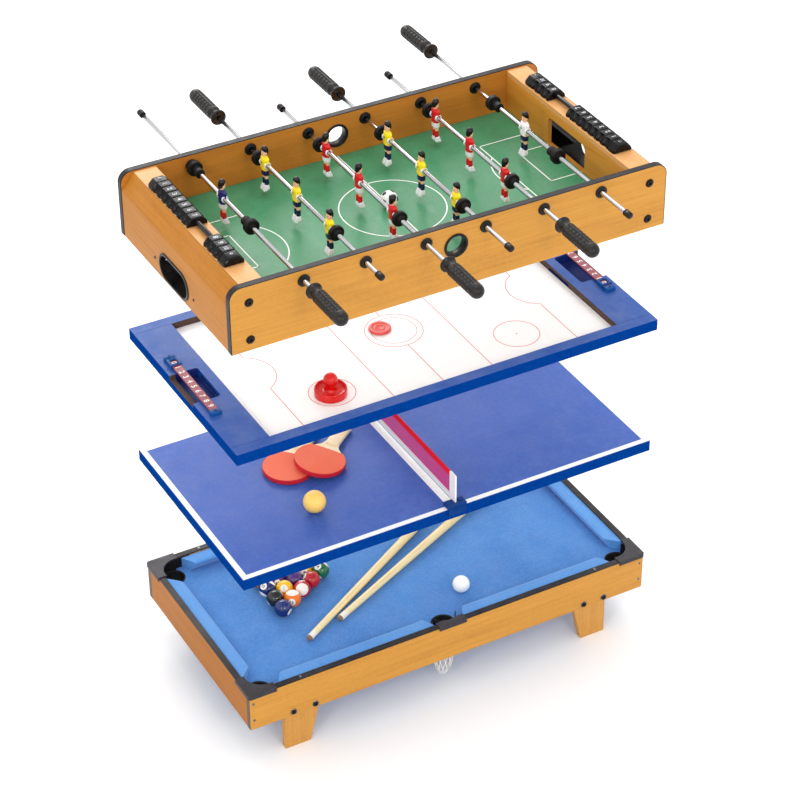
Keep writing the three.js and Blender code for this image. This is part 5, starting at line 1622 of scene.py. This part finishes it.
def racket(name, place):
    wood = Form().add(plate(blade_outline(45), 2, 7), 0, place)
    ping_pong_piece(f"{name}_blade", wood, [BLADE_WOOD], "racket", [name], bevel=0.6)
    tape = Form().add(plate(arc_band(0, 0, 45.4, 1.6, 43, 317, 60), 1.6, 7.4), 0, place)
    ping_pong_piece(f"{name}_edge_tape", tape, [RUBBER_EDGE], "racket", [name], bevel=0.3)
    for label, low, high in (("lower", 0, 2.0), ("upper", 7.0, 9)):
        sheet = Form()
        outline = rubber_outline(45.6)
        sheet.add(plate(outline, low, high), 1, place)
        sheet.finishes[0 if label == "lower" else 1] = 0
        ping_pong_piece(f"{name}_{label}_rubber", sheet, [RUBBER_RED, RUBBER_EDGE], "racket", [name],
                        bevel=0.35)
    rings = []
    for x, wide, thick in ((50, 10.5, 4.0), (51, 12, 4.9), (58, 12.4, 5.4), (75, 12.3, 5.5),
                           (100, 12.6, 5.5), (118, 13, 5.5), (122.5, 12.6, 5.2), (124, 11, 4.2)):
        ring = []
        for i in range(24):
            a = 2 * math.pi * (i + 0.5) / 24
            c, s = math.cos(a), math.sin(a)
            ring.append((x, wide * math.copysign(abs(c) ** 0.5, c),
                         4.5 + thick * math.copysign(abs(s) ** 0.62, s)))
        rings.append(ring)
    handle = Form().add(skin(rings), 0, place)
    ping_pong_piece(f"{name}_handle", handle, [BLADE_WOOD], "racket", [name], sharp=60)


def rackets():
    swing = math.radians(40)
    low = at(-199, 27, PING_PONG_TOP + 1.3) @ Matrix.Rotation(swing, 4, "Z")
    heading = math.atan2(27 - 6, -199 + 148)
    lean = Matrix.Rotation(heading, 4, "Z") @ turn_about("Y", -8)
    high = at(-148, 6, PING_PONG_TOP + 10.8) @ lean @ Matrix.Rotation(swing - heading, 4, "Z")
    racket("racket_left", low)
    racket("racket_right", high)


def ping_pong_ball():
    form = Form()
    profile = []
    for i in range(41):
        a = math.pi * i / 40
        seam = 0.05 * math.exp(-((a - math.pi / 2) / 0.03) ** 2)
        profile.append(((20 + seam) * math.sin(a), -(20 + seam) * math.cos(a)))
    profile[0], profile[-1] = (0, -20), (0, 20)
    form.add(turned(profile, 72))
    mesh = mesh_of("ping_pong_ball_shell", form, [BALL_YELLOW], sharp=180)
    turn = Matrix.Rotation(0.9, 4, "X") @ Matrix.Rotation(0.5, 4, "Y")
    place_mesh("ping_pong_ball_shell", mesh, "ping_pong_ball_body", ["ping_pong_ball"],
               at(*middle_of("ping_pong_ball")) @ turn)


def ping_pong_top():
    ping_pong_board()
    ping_pong_net()
    rackets()
    ping_pong_ball()


# Pool base

POCKETS = [(-370, -177), (0, -177), (370, -177), (-370, 177), (0, 177), (370, 177)]
END_PANEL_X = (395.7, 404.7)
END_PANEL_Y = 199.7
BED_TOP = 53
PANEL_TOP = 74.5
RAIL_TOP = 77
CAP_HEIGHTS = (74.8, 79)
CAP_REACH_Y = 214.3
BALL_RADIUS = 16.0


def cushion_form(start, end, start_bevel, end_bevel, place):
    """A cushion along U with its nose towards +V: undercut below, crowned above, mitred ends."""
    section = [(-0.3, 53.3), (12, 53.3), (19, 53.5), (22, 58), (25.4, 65), (27.6, 69), (28, 70.3),
               (27.7, 71.6), (26.6, 72.7), (24.6, 73.4), (20, 73.7), (12, 73.75), (4, 73.6),
               (-0.3, 73.5)]
    rings = []
    steps = 14
    for k in range(steps + 1):
        t = k / steps
        close = min(t, 1 - t) * steps
        swell = 0.0 if close < 0.5 else 0.25
        ring = []
        for v, z in section:
            share = max(v, 0) / 28
            u0, u1 = start + start_bevel * share, end - end_bevel * share
            lift = swell if z > 72 and 2 < v < 26 else 0.0
            ring.append((u0 + (u1 - u0) * t, v, z + lift))
        rings.append(ring)
    return Form().add(skin(rings), 0, place)


def pool_cushions():
    for s, name in END_OF_Y.items():
        node = f"pool_{name}_rail"
        for h in (-1, 1):
            place = at(0, s * INSIDE, 0) @ flipped(h, -s)
            form = cushion_form(28, 343, 13, 17, place)
            piece = pool_piece(f"pool_cushion_{name}_{END_OF_X[h]}", form, [CUSHION_CLOTH], "blue_cloth",
                               [node], bevel=0.5, sharp=50)
    for s, name in END_OF_X.items():
        node = f"pool_{name}_rail"
        turn = TO_LEFT if s < 0 else TO_RIGHT
        place = at(s * END_PANEL_X[0], 0, 0) @ turn
        form = cushion_form(-162, 162, 28, 28, place)
        piece = pool_piece(f"pool_cushion_{name}_end", form, [CUSHION_CLOTH], "blue_cloth", [node],
                           bevel=0.5, sharp=50)


def pool_panels():
    for s, name in END_OF_Y.items():
        node = f"pool_{name}_rail"
        y0, y1 = across(s, INSIDE, HALF_WIDTH)
        panel = Form().add(block(-HALF_LENGTH, HALF_LENGTH, y0, y1, 0, PANEL_TOP))
        panel.finishes = [0, 0, 0, 0, 1, 1]
        pool_piece(f"pool_{name}_panel", panel, [OAK, END_BAND], "honey_board", [node], bevel=0.7)
        heads = Form()
        turn = half_turn(s > 0)
        for x in (321, 278):
            for h in (-1, 1):
                spot = at(h * x, s * HALF_WIDTH, 8)
                heads.add(washer(6.6, turn), 1, spot)
                heads.add(bolt_head(5, 2.8, turn), 0, spot)
        for z in (21, 58):
            for h in (-1, 1):
                heads.add(bolt_head(2.6, 1.0, turn), 1, at(h * 397.5, s * HALF_WIDTH, z))
        pool_piece(f"pool_{name}_bolts", heads, [BLACK, STEEL], "black_moulding", [node], sharp=30)
    for s, name in END_OF_X.items():
        node = f"pool_{name}_rail"
        x0, x1 = across(s, *END_PANEL_X)
        panel = Form().add(block(x0, x1, -END_PANEL_Y, END_PANEL_Y, 0, PANEL_TOP))
        # The pool end panels take the darker end copy of the honey board, a painted shade
        pool_piece(f"pool_{name}_panel", panel, [OAK_POOL_END_SHADE], "honey_board", [node], bevel=0.7)


def corner_cap_outline():
    """A square corner with a rounded outside and a hollow towards the pocket."""
    far_x, far_y, round_out = 407.3, CAP_REACH_Y, 6
    start_x, start_y = 352.0, 159.0
    radius = 32
    first = math.degrees(math.asin((start_y - 165) / radius))
    last = 180 - math.degrees(math.acos((358 - start_x) / radius))
    hollow = arc(358, 165, radius, first, last, 18)
    outside = arc(far_x - round_out, far_y - round_out, round_out, 0, 90, 8)
    return [(start_x, far_y)] + hollow[::-1] + [(far_x, start_y)] + outside


def rail_frame():
    strips = Form()
    strips.add(block(-353, 353, -HALF_WIDTH, -INSIDE, 74.7, RAIL_TOP))
    strips.add(block(-353, 353, INSIDE, HALF_WIDTH, 74.7, RAIL_TOP))
    strips.add(block(-HALF_LENGTH, -HALF_LENGTH + 12, -160, 160, 74.7, RAIL_TOP))
    strips.add(block(HALF_LENGTH - 12, HALF_LENGTH, -160, 160, 74.7, RAIL_TOP))
    pool_piece("rail_trim_strips", strips, [EDGE_BAND], "black_moulding", ["pool_rail_frame"], bevel=0.6)
    screws = Form()
    for x in (-303, 303):
        for y in (-206, 206):
            screws.add(bolt_head(2.6, 0.9, UPWARD), 0, at(x, y, RAIL_TOP))
    pool_piece("rail_trim_screws", screws, [STEEL], "black_moulding", ["pool_rail_frame"], sharp=30)
    for sx in (-1, 1):
        for sy in (-1, 1):
            place = flipped(sx, sy)
            cap = Form().add(plate(corner_cap_outline(), *CAP_HEIGHTS), 0, place)
            skirt = arc(401.3, 208.3, 6, 0, 90, 8)
            inner = arc(401.3, 208.3, 4.2, 90, 0, 8)
            outline = [(407.3, 159)] + skirt + [(352, CAP_REACH_Y), (352, 212.5)] + inner + [(405.5, 159)]
            cap.add(plate(outline, 70, 75), 0, place)
            label = f"{END_OF_Y[sy]}_{END_OF_X[sx]}"
            pool_piece(f"corner_cap_{label}", cap, [CAP_BLACK], "black_moulding", ["pool_rail_frame"],
                       bevel=0.8, rounds=3)
    for sy in (-1, 1):
        place = flipped(1, sy)
        notch = arc(0, 177, 24, 61, 119, 10)
        outline = [(28, 198.3), (28, CAP_REACH_Y), (-28, CAP_REACH_Y), (-28, 198.3)] + notch[::-1]
        cap = Form().add(plate(outline, *CAP_HEIGHTS), 0, place)
        cap.add(block(-28, 28, 212.4, CAP_REACH_Y, 70, 75), 0, place)
        pool_piece(f"side_cap_{END_OF_Y[sy]}", cap, [CAP_BLACK], "black_moulding", ["pool_rail_frame"],
                   bevel=0.8, rounds=3)


def pocket_bag(index, x, y):
    """A knotted bag of white cord that hangs under a pocket hole."""
    cord = Form()
    sides, rows = 12, 5
    top = 25.0
    depth = 54 if x else 86
    inward = Vector((-0.06 * x, -0.06 * y, 0)) if x else Vector()

    def knot(row, turn):
        t = row / rows
        radius = 20.5 * (1 - 0.18 * t) * math.sqrt(max(0.0, 1 - max(0.0, t - 0.55) ** 2 / 0.26))
        angle = 2 * math.pi * (turn + 0.5 * (row % 2)) / sides
        sway = 2.0 * t * math.sin(angle * 2 + index)
        reach = radius + sway * 0.4
        return Vector((x + reach * math.cos(angle), y + reach * math.sin(angle),
                       top - depth * t)) + inward * t

    def thread(a, b, thick=0.95):
        run = b - a
        if run.length < 0.5:
            return
        turn = run.to_track_quat("Z", "Y").to_matrix().to_4x4()
        cord.add(turned([(thick, 0), (thick * 0.8, run.length / 2), (thick, run.length)], 6), 0,
                 Matrix.Translation(a) @ turn)

    for row in range(rows):
        for turn in range(sides):
            thread(knot(row, turn), knot(row + 1, turn))
            thread(knot(row, turn), knot(row + 1, turn - 1 if row % 2 == 0 else turn + 1))
    for turn in range(sides):
        thread(knot(0, turn), knot(0, turn + 1), 1.1)
    place = f"{'front' if y < 0 else 'back'}_{'left' if x < 0 else 'right' if x > 0 else 'middle'}"
    bag = pool_piece(f"pocket_net_{place}", cord, [POCKET_NET], "blue_cloth", sharp=60)


def pool_bed():
    holes = [circle(x, y, 21, 44) for x, y in POCKETS]
    edge_x, edge_y = 395.4, END_PANEL_Y
    bed = Form().add(plate(straight(-edge_x, edge_x, -edge_y, edge_y), 47, BED_TOP, holes))
    bed.finishes[0] = 1
    pool_piece("pool_bed_cloth", bed, [TABLE_CLOTH, BACKING], "blue_cloth", ["pool_bed"], bevel=0.8)
    liners = Form()
    for x, y in POCKETS:
        rim = [(19.4, 52.6), (20.4, 53.4), (22.6, 53.45), (22.6, 53.05), (20.9, 52.9), (20.9, 22), (19.4, 22)]
        liners.add(turned(rim, 44, loop=True), 0, at(x, y, 0))
        start, end = (10, 170) if x == 0 else (-38, 128)
        flip = flipped(-1 if x < 0 else 1, -1 if y < 0 else 1)
        wall = plate(arc_band(abs(x), abs(y), 22.2, 1.3, start, end, 28), 53.5, 74.6)
        liners.add(wall, 0, flip)
        if x:
            liners.add(block(326, 372, 198.9, 199.9, 53.4, 74.6), 0, flip)
            liners.add(block(394.6, 395.6, 132, 178, 53.4, 74.6), 0, flip)
    pool_piece("pocket_liners", liners, [BLACK_RUBBER], "black_moulding", ["pool_bed"], sharp=50)


def pool_legs():
    outline = [(333, -85), (333, 40), (263, 40), (263, 0), (283, -85)]
    for sx in (-1, 1):
        for sy in (-1, 1):
            y0, y1 = across(sy, 185.7, 199.7)
            leg = Form().add(plate([(sx * x, z) for x, z in outline], y0, y1, axis="Y"))
            name = f"leg_{END_OF_Y[sy]}_{END_OF_X[sx]}"
            pool_piece(f"{name}_board", leg, [OAK_LEG], "honey_board", [name], bevel=0.7)


def pool_ball_mesh(number):
    """A ball with its number in a white round, and a band of colour on the upper numbers."""
    form = Form()
    radius = BALL_RADIUS
    rows, sides = 36, 48
    striped = number > 8
    angles = [math.pi * i / rows for i in range(rows + 1)]
    profile = [(radius * math.sin(angle), -radius * math.cos(angle)) for angle in angles]
    profile[0], profile[-1] = (0, -radius), (0, radius)
    points, faces = turned(profile, sides)
    form.add((points, faces), 0)
    for k, face in enumerate(faces):
        height = sum(points[c][2] for c in face) / len(face)
        if striped and abs(height) > radius * 0.72:
            form.finishes[k] = 1
    for side in (-1, 1):
        disc, spokes = [], 32
        for lap, share in enumerate((0.0, 0.35, 0.7, 1.0)):
            reach = share * 0.43
            for i in range(spokes if lap else 1):
                a = 2 * math.pi * i / spokes
                out = Vector((math.cos(reach), math.sin(reach) * math.cos(a), math.sin(reach) * math.sin(a)))
                disc.append(out * (radius + 0.04))
        disc_faces = [(0, 1 + i, 1 + (i + 1) % spokes) for i in range(spokes)]
        for lap in range(2):
            for i in range(spokes):
                a, b = 1 + lap * spokes + i, 1 + lap * spokes + (i + 1) % spokes
                disc_faces.append((a, a + spokes, b + spokes, b))
        turn = half_turn(side < 0)
        form.add((disc, disc_faces), 1, turn)
        flat, flat_faces = lettering(str(number), 9.5 if number < 10 else 8.2)
        bent = [(Vector((radius, px, py))).normalized() * (radius + 0.09) for px, py, _ in flat]
        form.add((bent, flat_faces), 2, turn)
    base = BALL_COLOURS[number if number <= 8 else number - 8]
    mesh = mesh_of(f"pool_ball_{number}", form, [base, BALL_WHITE, BLACK_INK], sharp=180)
    outward(mesh)
    return mesh


# The rack from its point to the back row, and the way each number looks: turn about Z, then lean
RACK_NUMBERS = [14, 3, 9, 11, 4, 15, 13, 1, 12, 6, 2, 8, 10, 5, 7]
RACK_LOOKS = [(200, 60), (330, -30), (250, 20), (64, 55), (120, 30), (215, 70), (238, 11), (238, 42),
              (250, 10), (240, 35), (300, -12), (178, -25), (200, 50), (170, 20), (260, -15)]


def pool_balls():
    point_x, point_y, pitch = -132, 46, 31.6
    order = 0
    for row in range(5):
        for place in range(row + 1):
            x = point_x - row * pitch * math.sin(math.pi / 3)
            y = point_y + (place - row / 2) * pitch
            turn_z, lean = RACK_LOOKS[order]
            turn = turn_about("Z", turn_z) @ turn_about("Y", -lean)
            number = RACK_NUMBERS[order]
            centre = Matrix.Translation(Vector((x, y, BED_TOP + BALL_RADIUS + 0.3)) * MM + POOL)
            place_mesh(f"pool_ball_{number}", pool_ball_mesh(number), "pool_base", ["racked_balls"],
                       centre @ turn)
            order += 1
    form = Form().add(ball_points(BALL_RADIUS))
    mesh = mesh_of("cue_ball_round", form, [CUE_BALL_WHITE], sharp=180)
    place_mesh("cue_ball_round", mesh, "cue_ball_body", ["cue_ball"], at(*middle_of("cue_ball")))


def cue(name, tip_x, tip_y, turn):
    dip = math.atan2(9 - 6, 530)
    place = at(tip_x, tip_y, BED_TOP + 6.6) @ turn_about("Z", turn - 90) @ Matrix.Rotation(dip, 4, "X")

    def radius(y):
        return 6 + 3 * max(0, y - 16) / 514

    shaft = [(radius(y), y) for y in (21, 60, 120, 200, 280, 360, 410)]
    butt = [(radius(y), y) for y in (410, 450, 500, 524)] + [(8.6, 528), (7.4, 530), (0, 530)]
    form = Form()
    form.add(turned([(0, 0.2), (2.6, 0.3), (4.6, 1.3), (5.7, 3.2), (5.9, 5.2), (5.9, 5.4)], 32, "Y"), 3)
    form.add(turned([(5.9, 5.3), (6.05, 5.5), (6.05, 20.8), (5.95, 21.1)], 32, "Y"), 2)
    form.add(turned(shaft, 32, "Y"), 0)
    form.add(turned(butt, 32, "Y"), 1)
    for y in (410, 414):
        inner, outer = radius(y) - 0.5, radius(y) + 0.12
        ring = [(inner, y - 0.8), (outer, y - 0.8), (outer, y + 0.8), (inner, y + 0.8)]
        form.add(turned(ring, 32, "Y"), 4)
    mesh = mesh_of(f"{name}_stick", form, [CUE_WOOD, CUE_BUTT, FERRULE, CUE_TIP, BLACK], sharp=40)
    spot = Matrix.Translation(POOL) @ Matrix.Translation(place.translation * MM) @ place.to_3x3().to_4x4()
    place_mesh(f"{name}_stick", mesh, "pool_base", [name], spot)


def pool_table():
    pool_panels()
    rail_frame()
    pool_bed()
    pool_cushions()
    pool_legs()
    for index, (x, y) in enumerate(POCKETS):
        pocket_bag(index, x, y)
    pool_balls()
    cue("cue_left", -236, -106, 30)
    cue("cue_right", -163, -84, 24.9)


pool_table()
ping_pong_top()
hockey_top()
foosball_top()
